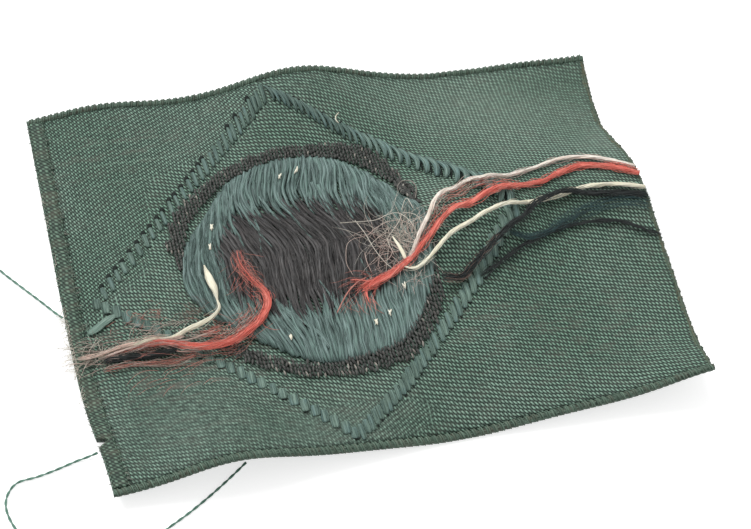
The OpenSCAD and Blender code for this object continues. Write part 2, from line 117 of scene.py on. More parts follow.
class Wiring:
    # Short ways to add nodes and join them in one node tree
    def __init__(self, tree):
        self.tree = tree

    def add(self, kind, **settings):
        node = self.tree.nodes.new(kind)
        for name, value in settings.items():
            setattr(node, name, value)
        return node

    def feed(self, source, socket):
        if isinstance(source, bpy.types.NodeSocket):
            self.tree.links.new(source, socket)
        else:
            socket.default_value = source

    def attribute(self, name, output="Fac"):
        return self.add("ShaderNodeAttribute", attribute_name=name).outputs[output]

    def maths(self, operation, *values, clamp=False):
        node = self.add("ShaderNodeMath", operation=operation, use_clamp=clamp)
        for value, socket in zip(values, node.inputs):
            self.feed(value, socket)
        return node.outputs[0]

    def blend(self, share, first, second, mode="MIX"):
        node = self.add("ShaderNodeMix", data_type="RGBA", blend_type=mode)
        for value, place in ((share, 0), (first, 6), (second, 7)):
            self.feed(value, node.inputs[place])
        return node.outputs[2]

    def noise(self, vector, scale, detail=2.0, output="Fac"):
        node = fill(self.add("ShaderNodeTexNoise"), {"Scale": scale, "Detail": detail})
        self.feed(vector, node.inputs["Vector"])
        return node.outputs[output]

    def spread(self, value, low, high):
        # 0 below low, 1 above high, smooth between
        node = self.add("ShaderNodeMapRange", interpolation_type="SMOOTHSTEP")
        for part, name in ((value, "Value"), (low, "From Min"), (high, "From Max")):
            self.feed(part, node.inputs[name])
        return node.outputs["Result"]

    def stretch(self, vector, factors):
        node = fill(self.add("ShaderNodeMapping"), {"Scale": factors})
        self.feed(vector, node.inputs["Vector"])
        return node.outputs["Vector"]

    def split(self, vector):
        node = self.add("ShaderNodeSeparateXYZ")
        self.feed(vector, node.inputs[0])
        return node.outputs

    def mix(self, share, *shaders):
        # One shader or the other by its share, or the sum of both without a share
        node = self.add("ShaderNodeAddShader" if share is None else "ShaderNodeMixShader")
        parts = shaders if share is None else (share, *shaders)
        for part, socket in zip(parts, node.inputs):
            self.tree.links.new(part, socket)
        return node.outputs[0]

    def light(self, kind, strength):
        node = self.add("ShaderNode" + kind)
        return fill(node, {"Color": (1, 1, 1, 1), "Strength": strength}).outputs[0]

    def seenRays(self):
        # 1 where the camera, a reflection or a glass path looks, 0 for the light that falls on things
        path = self.add("ShaderNodeLightPath").outputs
        seen = path["Is Camera Ray"]
        for name in ("Is Glossy Ray", "Is Transmission Ray"):
            seen = self.maths("MAXIMUM", seen, path[name])
        return seen


# Camera, light and table

cameraView = {"azimuth": -19.446, "elevation": 53.599, "roll": 6.373, "distance": 184.94,
              "target": (1.143, -0.741, 0.0), "lens": 95.87}


def makeCamera():
    bpy.ops.object.camera_add()
    camera = bpy.context.object
    camera.name = "tableCamera"
    azimuth, elevation, roll = (math.radians(cameraView[k]) for k in ("azimuth", "elevation", "roll"))
    move = Matrix.Translation([part * mm for part in cameraView["target"]])
    for angle, axis in ((azimuth, "Z"), (math.pi / 2 - elevation, "X"), (roll, "Z")):
        move = move @ Matrix.Rotation(angle, 4, axis)
    camera.matrix_world = move @ Matrix.Translation((0, 0, cameraView["distance"] * mm))
    camera.data.sensor_width = 36
    camera.data.lens = cameraView["lens"]
    camera.data.clip_start = 0.01
    camera.data.clip_end = 10
    bpy.context.scene.camera = camera


studio = {"sky": 0.62, "lampPower": 4.2, "lampSize": 0.5, "lampSpot": (-0.22, 0.38, 0.62),
          "table": (0.7, 0.7, 0.7, 1), "tableRoughness": 0.9, "tableGlow": 0.64, "tableSize": 3}


def makeStudio():
    scene = bpy.context.scene
    scene.view_settings.view_transform = "Standard"
    scene.world = bpy.data.worlds.new("studioWorld")
    scene.world.use_nodes = True
    scene.world.node_tree.nodes.clear()
    wires = Wiring(scene.world.node_tree)
    sky = wires.mix(wires.seenRays(), wires.light("Background", studio["sky"]), wires.light("Background", 1))
    wires.feed(sky, wires.add("ShaderNodeOutputWorld").inputs[0])

    bpy.ops.object.light_add(type="AREA", location=studio["lampSpot"])
    lamp = bpy.context.object
    lamp.name = "softLamp"
    lamp.data.shape = "DISK"
    lamp.data.size = studio["lampSize"]
    lamp.data.energy = studio["lampPower"]
    lamp.rotation_mode = "QUATERNION"
    lamp.rotation_quaternion = lamp.location.to_track_quat("Z", "Y")

    bpy.ops.mesh.primitive_plane_add(size=studio["tableSize"], location=(0, 0, cadLow.z))
    table = bpy.context.object
    table.name = "studioTable"
    paper = bpy.data.materials.new("tablePaper")
    paper.use_nodes = True
    wires = Wiring(paper.node_tree)
    shader = paper.node_tree.nodes["Principled BSDF"]
    fill(shader, {"Base Color": studio["table"], "Roughness": studio["tableRoughness"]})
    glow = wires.mix(wires.seenRays(), *(wires.light("Emission", part) for part in (0, studio["tableGlow"])))
    surface = paper.node_tree.nodes["Material Output"].inputs["Surface"]
    wires.feed(wires.mix(None, shader.outputs[0], glow), surface)
    table.data.materials.append(paper)


# Materials

def paint(code):
    # A colour from its hex code, as Blender's linear values
    parts = [int(code[i:i + 2], 16) / 255 for i in (1, 3, 5)]
    return tuple(p / 12.92 if p <= 0.04045 else ((p + 0.055) / 1.055) ** 2.4 for p in parts) + (1.0,)


def newGroup(name, inputs):
    # A look that takes these inputs and the yarn's colours, and gives a colour and a height
    group = bpy.data.node_groups.new(name, "ShaderNodeTree")
    takes = inputs | {"Dark": "Color", "Light": "Color", "Tint": "Color", "Tint Amount": "Float"}
    for side, sockets in (("INPUT", takes), ("OUTPUT", {"Color": "Color", "Height": "Float"})):
        for label, kind in sockets.items():
            group.interface.new_socket(label, in_out=side, socket_type="NodeSocket" + kind)
    wires = Wiring(group)
    return group, wires, wires.add("NodeGroupInput").outputs, wires.add("NodeGroupOutput").inputs


filament = {
    # Shares of the noise's scale for fine threads and for patches, the noise they show above, and how much
    # and from which value the shade lightens them
    "fine": (2.6, 2.6, 0.5), "coarse": (0.6, 0.6, 0.45), "threads": (0.32, 0.68), "patches": (0.46, 0.66),
    "lightness": (0.7, 0.45),
}


def makeFilamentGroup():
    # Fine filaments along a yarn, with patches of another tint and small flecks.
    # Grain holds the place round the yarn in x and y, and the distance along it in z, in mm.
    group, wires, take, give = newGroup("filamentLook", {"Grain": "Vector", "Shade": "Float"})
    fine = wires.noise(wires.stretch(take["Grain"], filament["fine"]), 1.0, 3.0)
    coarse = wires.noise(wires.stretch(take["Grain"], filament["coarse"]), 1.0, 2.0)
    threads = wires.spread(fine, *filament["threads"])
    level = wires.maths("MULTIPLY_ADD", take["Shade"], *filament["lightness"])
    level = wires.maths("MULTIPLY", threads, level, clamp=True)
    yarn = wires.blend(level, take["Dark"], take["Light"])
    patch = wires.maths("MULTIPLY", wires.spread(coarse, *filament["patches"]), take["Tint Amount"])
    wires.feed(wires.blend(patch, yarn, take["Tint"]), give["Color"])
    wires.feed(threads, give["Height"])
    return group


weave = {
    # Waves of the floats: turns for each column and for each row, size, and where they show
    "waves": [(1, 0, 0.25, "all"), (-0.5, 1, 0.3, "rising"), (0.5, 1, 0.15, "rising"),
              (1.5, 1, 0.36, "rising"), (0.25, 1, 0.31, "falling"), (1.25, 1, 0.36, "falling"),
              (2, 0, 0.1, "all")],
    # How far the threads wander, in threads; how far the border of rising rows wanders, and its sharp change
    "sway": (2.0, 3.2), "wander": (0.6, -0.3), "change": (9.0, -3.8),
    # Share and offset of the lightness by the floats' height, which paints light on their tops and shade
    # between them, and by uneven patches, and what Faint adds
    "lightness": (1.1, -0.26), "uneven": (2.6, -0.3), "faint": -0.1,
    # Above which noise paler threads and dust show
    "pale": (0.68, 0.76), "dust": (0.45, 0.66),
}


def makeWeaveGroup():
    # Plain weave of fine threads. Place is the piece's own map from 0 to 1, Wefts and Warps are the threads
    # along each side. Its floats line up in falling rows, in rising ones where Rising is 1, and in plain
    # columns where Ribbed is 1. They hardly show where Faint is 1.
    group, wires, take, give = newGroup("weaveLook", {
        "Place": "Vector", "Wefts": "Float", "Warps": "Float", "Rising": "Float", "Ribbed": "Float",
        "Faint": "Float"})
    shift, change = (wires.split(wires.noise(take["Place"], scale, 2.0, "Color")) for scale in (7, 4))
    place = wires.split(take["Place"])
    threads = [wires.maths("MULTIPLY_ADD", shift[axis], weave["sway"][axis],
                           wires.maths("MULTIPLY", place[axis], take[count]))
               for axis, count in enumerate(("Wefts", "Warps"))]
    column = wires.maths("MULTIPLY", threads[0], 2 * math.pi)
    row = wires.maths("MULTIPLY", threads[1], math.pi)
    crossed = wires.maths("SUBTRACT", 1.0, take["Ribbed"])
    lean = wires.maths("ADD", take["Rising"], wires.maths("MULTIPLY_ADD", change[0], *weave["wander"]))
    rising = wires.maths("MULTIPLY_ADD", lean, *weave["change"], clamp=True)
    shares = {"all": 1.0, "rising": wires.maths("MULTIPLY", rising, crossed)}
    shares["falling"] = wires.maths("SUBTRACT", crossed, shares["rising"])
    height = 0.5
    for turns, crossing, size, where in weave["waves"]:
        phase = wires.maths("MULTIPLY_ADD", column, turns, row if crossing else 0.0)
        wave = wires.maths("MULTIPLY", wires.maths("COSINE", phase), size)
        height = wires.maths("MULTIPLY_ADD", wave, shares[where], height)
    shown = wires.maths("SUBTRACT", 1.0, take["Faint"])
    height = wires.maths("MULTIPLY_ADD", wires.maths("SUBTRACT", height, 0.5), shown, 0.5)
    joined = wires.add("ShaderNodeCombineXYZ")
    wires.feed(wires.maths("MULTIPLY", threads[0], 0.5), joined.inputs[0])
    wires.feed(threads[1], joined.inputs[1])
    threadPlace = joined.outputs[0]
    uneven = wires.maths("MULTIPLY_ADD", wires.noise(threadPlace, 0.9), *weave["uneven"])
    # The floats' height lightens their tops and darkens the hollows between them: painted light and shade
    level = wires.maths("MULTIPLY_ADD", height, *weave["lightness"])
    level = wires.maths("MULTIPLY", level, uneven, clamp=True)
    level = wires.maths("MULTIPLY_ADD", take["Faint"], weave["faint"], level)
    # A few paler threads show as lines of dots, lighter on the floats' tops as painted glints
    pale = wires.spread(wires.noise(wires.stretch(threadPlace, (0.06, 1, 1)), 0.8, 1.0), *weave["pale"])
    level = wires.maths("MULTIPLY_ADD", wires.maths("MULTIPLY", height, 0.5), pale, level)
    colour = wires.blend(level, take["Dark"], take["Light"])
    dust = wires.spread(wires.noise(threadPlace, 0.3, 3.0), *weave["dust"])
    dust = wires.maths("MULTIPLY", dust, take["Tint Amount"])
    wires.feed(wires.blend(dust, colour, take["Tint"]), give["Color"])
    wires.feed(height, give["Height"])
    return group


fibre = {"specular": 0.3, "sheenRoughness": 0.45}
yarnSurface = {"sheen": 0.15, "bump": (0.5, 0.03)}
clothSurface = {"roughness": 0.62, "sheen": 0.2, "bump": (0.8, 0.07)}


def newMaterial(name, group, colours, tintAmount, roughness, sheen, bump):
    # A fibre material with one of the shared looks; bump is its strength and its depth in mm
    material = bpy.data.materials.new(name)
    material.use_nodes = True
    wires = Wiring(material.node_tree)
    dark, light, tint = (paint(code) for code in colours)
    shader = fill(material.node_tree.nodes["Principled BSDF"], {
        "Roughness": roughness, "Specular IOR Level": fibre["specular"], "Sheen Weight": sheen,
        "Sheen Roughness": fibre["sheenRoughness"], "Sheen Tint": light})
    look = fill(wires.add("ShaderNodeGroup", node_tree=group), {
        "Dark": dark, "Light": light, "Tint": tint, "Tint Amount": tintAmount})
    relief = fill(wires.add("ShaderNodeBump"), {"Strength": bump[0], "Distance": bump[1] * mm})
    wires.feed(look.outputs["Height"], relief.inputs["Height"])
    wires.feed(relief.outputs[0], shader.inputs["Normal"])
    wires.feed(look.outputs["Color"], shader.inputs["Base Color"])
    return material, wires, look


def yarnMaterial(name, *colours, amount=0.3, roughness=0.6):
    material, wires, look = newMaterial(name, filamentGroup, colours, amount, roughness, **yarnSurface)
    wires.feed(wires.attribute("grain", "Vector"), look.inputs["Grain"])
    wires.feed(wires.attribute("shade"), look.inputs["Shade"])
    return material


def weaveMaterial(name, facts):
    colours = [facts[part] for part in ("dark", "light", "tint")]
    material, wires, look = newMaterial(name, weaveGroup, colours, facts["tintAmount"], **clothSurface)
    wires.feed(wires.add("ShaderNodeUVMap", uv_map="clothMap").outputs[0], look.inputs["Place"])
    fill(look, {"Wefts": groundCloth["wefts"], "Warps": groundCloth["warps"]})
    return material, wires, look


filamentGroup = makeFilamentGroup()
weaveGroup = makeWeaveGroup()

# For each yarn: its material and slot, its dark and light colour and tint, how much of the tint, roughness
yarnLooks = {
    "blueGreen": ("blueGreenYarn", "blue_green_yarn", ("#1F2F2C", "#94ADA8", "#718F85"), 0.6),
    "border": ("borderYarn", "blue_green_yarn", ("#24362F", "#8FAAA0", "#5F7F82"), 0.5),
    "borderSoft": ("borderSoftYarn", "blue_green_yarn", ("#3A4E46", "#8CA699", "#627F80"), 0.5),
    "discBlack": ("discBlackYarn", "black_yarn", ("#1B1D1E", "#737170", "#4A4240"), 0.4),
    "ringBlack": ("ringBlackYarn", "black_yarn", ("#171A1A", "#7C7E79", "#5A5350"), 0.4),
    # A lighter copy of the ring's black yarn, for painted highlights
    "ringPale": ("ringPaleYarn", "black_yarn", ("#4A4744", "#B4B0A6", "#8C8078"), 0.4),
    "tailBlack": ("tailBlackYarn", "black_yarn", ("#16191A", "#454B4A", "#2A302F"), 0.3),
    "darkGreen": ("darkGreenYarn", "dark_green_yarn", ("#22383A", "#4F6B6C", "#34504F"), 0.3),
    "cream": ("creamYarn", "white_yarn", ("#F2EBCE", "#FFFFF4", "#FBF0CC"), 0.3, 0.5),
    "softWhite": ("softWhiteYarn", "white_yarn", ("#F3E8D8", "#FFFFFA", "#FAD8CA"), 0.45, 0.5),
    "pinkCream": ("pinkCreamYarn", "white_yarn", ("#E2C8B8", "#FFF6EA", "#EBB3A4"), 0.7, 0.5),
    "red": ("redYarn", "red_yarn", ("#D95346", "#FFB0A0", "#F47A67"), 0.45, 0.5),
    "fadedRed": ("fadedRedYarn", "red_yarn", ("#A8645A", "#E6A294", "#C29686"), 0.5),
    "pinkHair": ("pinkHair", "white_yarn", ("#C9AFA2", "#F6E6DC", "#DDB0A4"), 0.5),
    "paleHair": ("paleHair", "white_yarn", ("#CFC6B6", "#FFFAEF", "#E8DDCA"), 0.3),
    "brownHair": ("brownHair", "black_yarn", ("#5E4C45", "#A18A7E", "#7C5C54"), 0.5),
    "greenThread": ("greenThread", "green_thread", ("#3C6656", "#8FB5A4", "#5E8C79"), 0.3, 0.5),
    "olive": ("oliveCord", "selvedge_cord", ("#1B2B22", "#7C9584", "#5E5A4E"), 0.45),
    "groundEnds": ("groundEnds", "turned_weave", ("#42544A", "#A3AC9F", "#8E7F78"), 0.5),
    "paleStrip": ("paleStripYarn", "pale_strip", ("#4E6A60", "#97ACA0", "#7B9488"), 0.4),
    "cutEnds": ("cutEnds", "cut_ends", ("#2E3F35", "#71826F", "#7A6A50"), 0.45),
    # Near-black yarn for the painted shade in the diamond's holes and gaps
    "pit": ("stitchPit", "blue_green_yarn", ("#0F1513", "#27322D", "#1A2320"), 0.2, 0.9),
    "faceBlack": ("faceBlackYarn", "black_yarn", ("#1B1D1E", "#4A4C4C", "#303232"), 0.3, 0.45),
    "faceWhite": ("faceWhiteYarn", "white_yarn", ("#B9B39C", "#EFEBDC", "#DAD4BE"), 0.3, 0.45),
    "faceRed": ("faceRedYarn", "red_yarn", ("#8E1F18", "#D9493B", "#B83428"), 0.3, 0.45),
}
yarns = {key: yarnMaterial(name, *colours, **dict(zip(("amount", "roughness"), rest)))
         for key, (name, slotName, colours, *rest) in yarnLooks.items()}


# Strands: yarns, filaments and hairs as closed tubes

def smoothLine(points, step):
    # A Catmull-Rom curve through the points, with its own points about step apart (metres)
    p = np.asarray(points, float)
    before = np.vstack([p[:1], p[:-2]])
    after = np.vstack([p[2:], p[-1:]])
    t = np.linspace(0, 1, 12, endpoint=False)[:, None]
    pieces = []
    for a, b, c, d in zip(before, p[:-1], p[1:], after):
        bend, twist = 2 * a - 5 * b + 4 * c - d, 3 * b - a - 3 * c + d
        pieces.append(0.5 * (2 * b + (c - a) * t + bend * t * t + twist * t ** 3))
    fine = np.vstack(pieces + [p[-1:]])
    far = np.concatenate([[0], np.cumsum(np.linalg.norm(np.diff(fine, axis=0), axis=1))])
    spots = np.linspace(0, far[-1], max(3, int(round(far[-1] / step)) + 1))
    return np.stack([np.interp(spots, far, fine[:, axis]) for axis in range(3)], 1)


def laidLine(route, step, lift):
    # The smooth middle line of a yarn through places [along, across]. Its lift over the cloth's upper side
    # is a number, one for each place, a function of the places, or the letters of what the yarn lies on.
    u, v = np.array(route, float).T
    if isinstance(lift, str):
        lift = [lies[letter] for letter in lift]
    elif callable(lift):
        lift = lift(u, v)
    return smoothLine(clothPoints(u, v, clothTop + np.asarray(lift)), step * mm)


def lineAxes(points):
    # Sideways and upward directions at each point of a line
    along = np.gradient(points, axis=0)
    along /= np.maximum(np.linalg.norm(along, axis=1, keepdims=True), 1e-12)
    side = np.cross(along, (0.0, 0.0, 1.0))
    side /= np.maximum(np.linalg.norm(side, axis=1, keepdims=True), 1e-9)
    return side, np.cross(side, along)


def distanceAlong(points):
    return np.concatenate([[0], np.cumsum(np.linalg.norm(np.diff(points, axis=0), axis=1))]) / mm


def drift(distance, chance, period, size):
    # A smooth random wander along a strand
    total = np.zeros_like(distance)
    for part in (1.0, 0.57, 0.31):
        total += part * np.sin(2 * math.pi * distance / (period * part) + chance.uniform(0, 2 * math.pi))
    return total * size / 1.9


def taper(count, start, end, least=0.25):
    # Width shares that narrow towards both ends
    t = np.linspace(0, 1, count)
    share = np.ones(count)
    for reach, away in ((start, t), (end, 1 - t)):
        if reach > 0:
            share = np.minimum(share, least + (1 - least) * np.sin(np.clip(away / reach, 0, 1) * math.pi / 2))
    return share


def strand(points, width, height, shade, sides):
    # One closed tube; width and height are full sizes in mm, one number or one for each point,
    # and a height of None is the width
    count = len(points)
    width = np.broadcast_to(np.asarray(width, float), count) * mm / 2
    height = width if height is None else np.broadcast_to(np.asarray(height, float), count) * mm / 2
    side, over = lineAxes(points)
    angle = 2 * math.pi * np.arange(sides) / sides
    across = (np.cos(angle) * width[:, None])[..., None]
    lift = (np.sin(angle) * height[:, None])[..., None]
    rings = points[:, None] + side[:, None] * across + over[:, None] * lift
    grain = np.empty((count, sides, 3))
    grain[..., 0] = np.cos(angle)
    grain[..., 1] = np.sin(angle)
    grain[..., 2] = distanceAlong(points)[:, None] + 37.0 * shade + 1000 * abs(points[0, 0])
    k = np.arange(sides)
    ring = np.arange(count - 1)[:, None] * sides
    a, b = ring + k, ring + (k + 1) % sides
    walls = np.stack([a, a + sides, b + sides, b], -1).reshape(-1, 4)
    caps = [list(k), list((count - 1) * sides + k[::-1])]
    return rings.reshape(-1, 3), walls, caps, grain.reshape(-1, 3), np.full(count * sides, shade)


def place(piece, slotName, stands=True):
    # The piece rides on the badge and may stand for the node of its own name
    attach(piece, "root")
    if stands:
        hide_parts("".join("_" + c.lower() if c.isupper() else c for c in piece.name))
    return piece


def meshPiece(name, yarn, points, faces, grain, shades):
    mesh = bpy.data.meshes.new(name)
    mesh.from_pydata(np.vstack(points).tolist(), [], faces)
    mesh.attributes.new("grain", "FLOAT_VECTOR", "POINT").data.foreach_set("vector", np.vstack(grain).ravel())
    mesh.attributes.new("shade", "FLOAT", "POINT").data.foreach_set("value", np.concatenate(shades))
    mesh.materials.append(yarns[yarn])
    piece = bpy.data.objects.new(name, mesh)
    bpy.context.scene.collection.objects.link(piece)
    return piece


def addStrands(name, strands, yarn, stands=True, slotName=None):
    # All strands as one piece of the badge
    points, walls, caps, grain, shades = zip(*strands)
    faces, start = [], 0
    for wall, cap, part in zip(walls, caps, points):
        faces += (wall + start).tolist() + [[i + start for i in end] for end in cap]
        start += len(part)
    piece = meshPiece(name, yarn, points, faces, grain, shades)
    piece.data.polygons.foreach_set("use_smooth", [True] * len(faces))
    return place(piece, slotName or yarnLooks[yarn][1], stands)


def bundle(points, chance, count, width, height, thread, pitch=0.0, loose=0.04, fray=(0, 0), core=0.7,
           shade=0.5, narrow=None, thin=1.0, uneven=0.35):
    # A yarn as a core with filaments round it. Fray gives how far the filaments spread at each end, in mm,
    # narrow and thin how wide the yarn and how thick its filaments are along it, against their full size.
    side, over = lineAxes(points)
    far = distanceAlong(points)
    narrow = np.ones(len(points)) if narrow is None else narrow
    spread = 1 + fray[0] / width * np.exp(-far / 1.6) + fray[1] / width * np.exp(-(far[-1] - far) / 1.6)
    made = []
    if core:
        # The core is darker than its filaments: painted shade in the gaps between them
        body = core * narrow * thin * (1 - 0.6 * np.clip(spread - 1, 0, 1))
        made.append(strand(points, body * width, body * height, shade * 0.6, 6))
    for i in range(count):
        turn = 2 * math.pi * (i + chance.uniform(-0.3, 0.3)) / count
        reach = math.sqrt(chance.uniform(0.35, 1))
        if pitch:
            turn = turn + 2 * math.pi * far / pitch
        across = np.cos(turn) * reach * (width - thread) / 2 * spread * narrow
        lift = np.sin(turn) * reach * (height - thread) / 2 * narrow
        across = across + drift(far, chance, 5.0, loose)
        lift = lift + drift(far, chance, 4.0, loose * 0.5)
        path = points + (side * across[:, None] + over * lift[:, None]) * mm
        made.append(strand(path, thread * thin * taper(len(points), 0.06, 0.06), None,
                           float(np.clip(shade + chance.uniform(-uneven, uneven), 0, 1.2)), 3))
    return made


# Step of a hair's line in mm, spreads of the loose hairs' thickness and of their shade
curls = {"step": 0.22, "thick": (0.022, 0.042), "shade": (0.3, 1)}


def hair(start, heading, length, chance, curl, thick, rise, drop, shade, least):
    # A thin curly hair over the cloth, from a place (u, v), with its heading in degrees. Least is how low it
    # lies over the upper side, rise how far its middle lifts from there, drop how far its end comes down.
    step = curls["step"]
    count = max(6, int(length / step))
    (u, v), turn = start, math.radians(heading)
    bend = chance.uniform(-curl, curl)
    swing = np.sin(np.linspace(0, math.pi, count) + chance.uniform(-0.3, 0.3))
    lifts = clothTop + least + rise * np.abs(swing) - drop * np.linspace(0, 1, count)
    places = []
    for _ in range(count):
        places.append((u, v))
        bend = 0.85 * bend + chance.normal(0, curl * 0.35)
        turn += bend
        u += step * math.cos(turn)
        v += step * math.sin(turn)
    u, v = np.array(places).T
    return strand(clothPoints(u, v, lifts), thick * taper(count, 0.1, 0.3), None, shade, 3)


def onDisc(u, v, beyond=0.0):
    return np.hypot(u - badge["centre"], v - badge["across"]) < badge["disc"] + beyond


def scatter(made, chance, rows, shortest, rise, leastLift, leastOnDisc):
    # Loose hairs round each middle, added to the strands made of each yarn
    for yarn, count, middle, spread, length, heading, wide, curl in rows:
        strands = made.setdefault(yarn, [])
        for _ in range(count):
            u, v = (at + chance.normal(0, reach / 2) for at, reach in zip(middle, spread))
            u = max(u, -halfLength + 0.6)
            turn, long = heading + chance.uniform(-wide, wide), length * chance.uniform(shortest, 1.3)
            thick, shade = chance.uniform(*curls["thick"]), chance.uniform(*curls["shade"])
            lift = leastOnDisc if onDisc(u, v) else leastLift
            strands.append(hair((u, v), turn, long, chance, curl, thick, rise, 0, shade, lift))


def addLoose(prefix, made):
    for yarn, strands in made.items():
        addStrands(prefix + yarn[0].upper() + yarn[1:], strands, yarn, False)


# Cords: the loose threads and the long red tail

looseThreads = {
    "looseThreadLeft": {"length": 0.0311, "farEnd": "bare", "route": [(-27.9, -1.2), (-28.5, -0.3),
        (-29.6, 1.3), (-31.1, 3.3), (-32.6, 5.4), (-33.6, 7.4), (-34.2, 9.6), (-34.2, 11.8), (-33.7, 14.0),
        (-33.6, 16.2), (-34.4, 18.1), (-36.0, 18.8), (-37.3, 17.8), (-37.6, 15.8), (-37.1, 13.8),
        (-36.6, 11.8)]},
    "looseThreadLoop": {"length": 0.0358, "farEnd": "object", "route": [(-27.2, -15.6), (-28.0, -15.7),
        (-29.2, -15.9), (-31.1, -16.4), (-32.6, -16.7), (-34.2, -16.9), (-35.1, -17.7), (-35.5, -18.8),
        (-35.4, -20.1), (-34.9, -21.5), (-33.9, -23.1), (-32.4, -24.5), (-30.2, -25.5), (-27.8, -25.7),
        (-25.2, -25.1), (-22.8, -23.9), (-20.7, -22.8), (-18.4, -21.4), (-16.5, -20.1), (-15.0, -19.0)]},
}
twine = {"ply": 0.13, "pitch": 1.7, "diameter": 0.24, "heights": [0.46, 0.26, 0.16]}


def makeLooseThread(name):
    facts = looseThreads[name]
    heights = twine["heights"] + twine["heights"][-1:] * (len(facts["route"]) - len(twine["heights"]))
    line = smoothLine(np.column_stack([facts["route"], heights]) * mm, 0.12 * mm)
    sideways, over = lineAxes(line)
    turn = 2 * math.pi * distanceAlong(line) / twine["pitch"]
    reach = (twine["diameter"] - twine["ply"]) / 2 * mm
    plies = []
    for start in (0, math.pi):
        offset = sideways * np.cos(turn + start)[:, None] + over * np.sin(turn + start)[:, None]
        plies.append(strand(line + offset * reach, twine["ply"], None, 0.45 + 0.1 * (start > 0), 6))
    thread = addStrands(name, plies, "greenThread")


redTail = {
    "route": [(-1.4, -5.4), (-0.2, -4.9), (1.4, -4.4), (2.7, -3.7), (3.9, -3.0), (5.9, -1.5), (8.0, 0.1),
              (10.6, 1.0), (12.2, 1.6), (13.9, 2.2), (16.0, 2.8), (18.3, 3.2), (20.1, 4.0), (22.3, 4.4),
              (24.6, 3.8), (26.0, 3.1), (27.5, 2.2)],
    "on": "fffffffcffccccccc", "length": 0.0324, "seed": 11,
    "shape": {"count": 20, "width": 0.54, "height": 0.4, "thread": 0.1, "pitch": 9.0, "loose": 0.07,
              "fray": (0.6, 0.1)},
    "fuzz": (110, 0.0, 1.0, -0.45, 0.45, 4.0, 0.05),
}


def makeRedTail():
    line = laidLine(redTail["route"], 0.25, redTail["on"])
    made = bundle(line, np.random.default_rng(redTail["seed"]), **redTail["shape"])
    tail = addStrands("rightRedTail", made, "red")


makeCamera()
for name in looseThreads:
    makeLooseThread(name)
makeRedTail()
makeStudio()
print("cords, camera and studio are made")


# The ribbon

groundCloth = {
    "columns": 206, "rows": 150, "relief": 0.05, "wefts": 152, "warps": 192,
    "dark": "#10211A", "light": "#93B3A1", "tint": "#6C665E", "tintAmount": 0.12, "dusty": 0.75,
    # Strength and colour of the paler places and the painted sheen, of the painted shade in the holes beside
    # the selvedges and their pitch in mm, and of the broad clouds and their scale
    "sheenAndPale": (0.22, "#94A396"), "shadeHoles": (0.45, "#1F2B24", 0.72), "clouds": (0.5, "#6E857A", 90),
    # Places with reddish dust from the yarns: [along, across, reach along, reach across, amount]
    "dust": [(-17, -8.6, 8, 1.6, 0.8), (-21, -4.6, 4, 1.4, 0.6), (-19, -11.5, 5, 1.2, 0.5),
             (-25.5, -6.5, 2, 2, 0.7),
             (11, 3, 5, 1.4, 0.4), (18, -13, 5, 4, 0.25), (-20, 15, 6, 2, 0.3), (10, -10, 6, 3, 0.25)],
    # Paler places and a painted sheen at the upper right: [along, across, reach along, reach across, amount]
    "pale": [(20, 15, 9, 6, 0.7), (5, 17, 8, 4, 0.3), (26, 10, 3, 8, 0.4), (-6, -18, 9, 3, 0.3)],
    # Places where the floats line up in rising rows, and where they make plain columns
    "rising": [(-25, 8, 8, 12, 1.0), (-3, -18, 9, 3, 0.7), (-14, 18, 9, 5, 1.0)],
    "ribbed": [(18, 16, 6, 4, 0.8), (-9, -19, 9, 2, 0.3)],
    # Places where the weave hardly shows
    "faint": [(16, 16, 9, 5, 0.3), (26, 12, 4, 8, 0.5), (-20, -14, 9, 7, 0.75), (-6, -18, 9, 3, 0.65),
              (-30, 14, 4, 5, 0.5), (-12, 17, 9, 4, 0.3), (-1, 19, 4, 2, 0.4)],
}
slit = {"place": -15.0, "reach": 1.2, "open": 0.95}


def bells(u, v, spots):
    total = np.zeros_like(u)
    for along, across, reachU, reachV, amount in spots:
        total += amount * np.exp(-((u - along) / reachU) ** 2 - ((v - across) / reachV) ** 2)
    return np.clip(total, 0, 1)


def openSlit(u, v, side):
    # Spreads the cloth at the small cut in the left edge; side tells which lip a point belongs to
    depth = np.clip(1 - (u + halfLength) / slit["reach"], 0, 1)
    near = np.exp(-np.abs(v - slit["place"]) / 1.2)
    return v + side * slit["open"] / 2 * depth * near


def readAll(items, field, width):
    # One field of all of a mesh's items, as rows
    values = np.empty(len(items) * width)
    items.foreach_get(field, values)
    return values.reshape(-1, width)


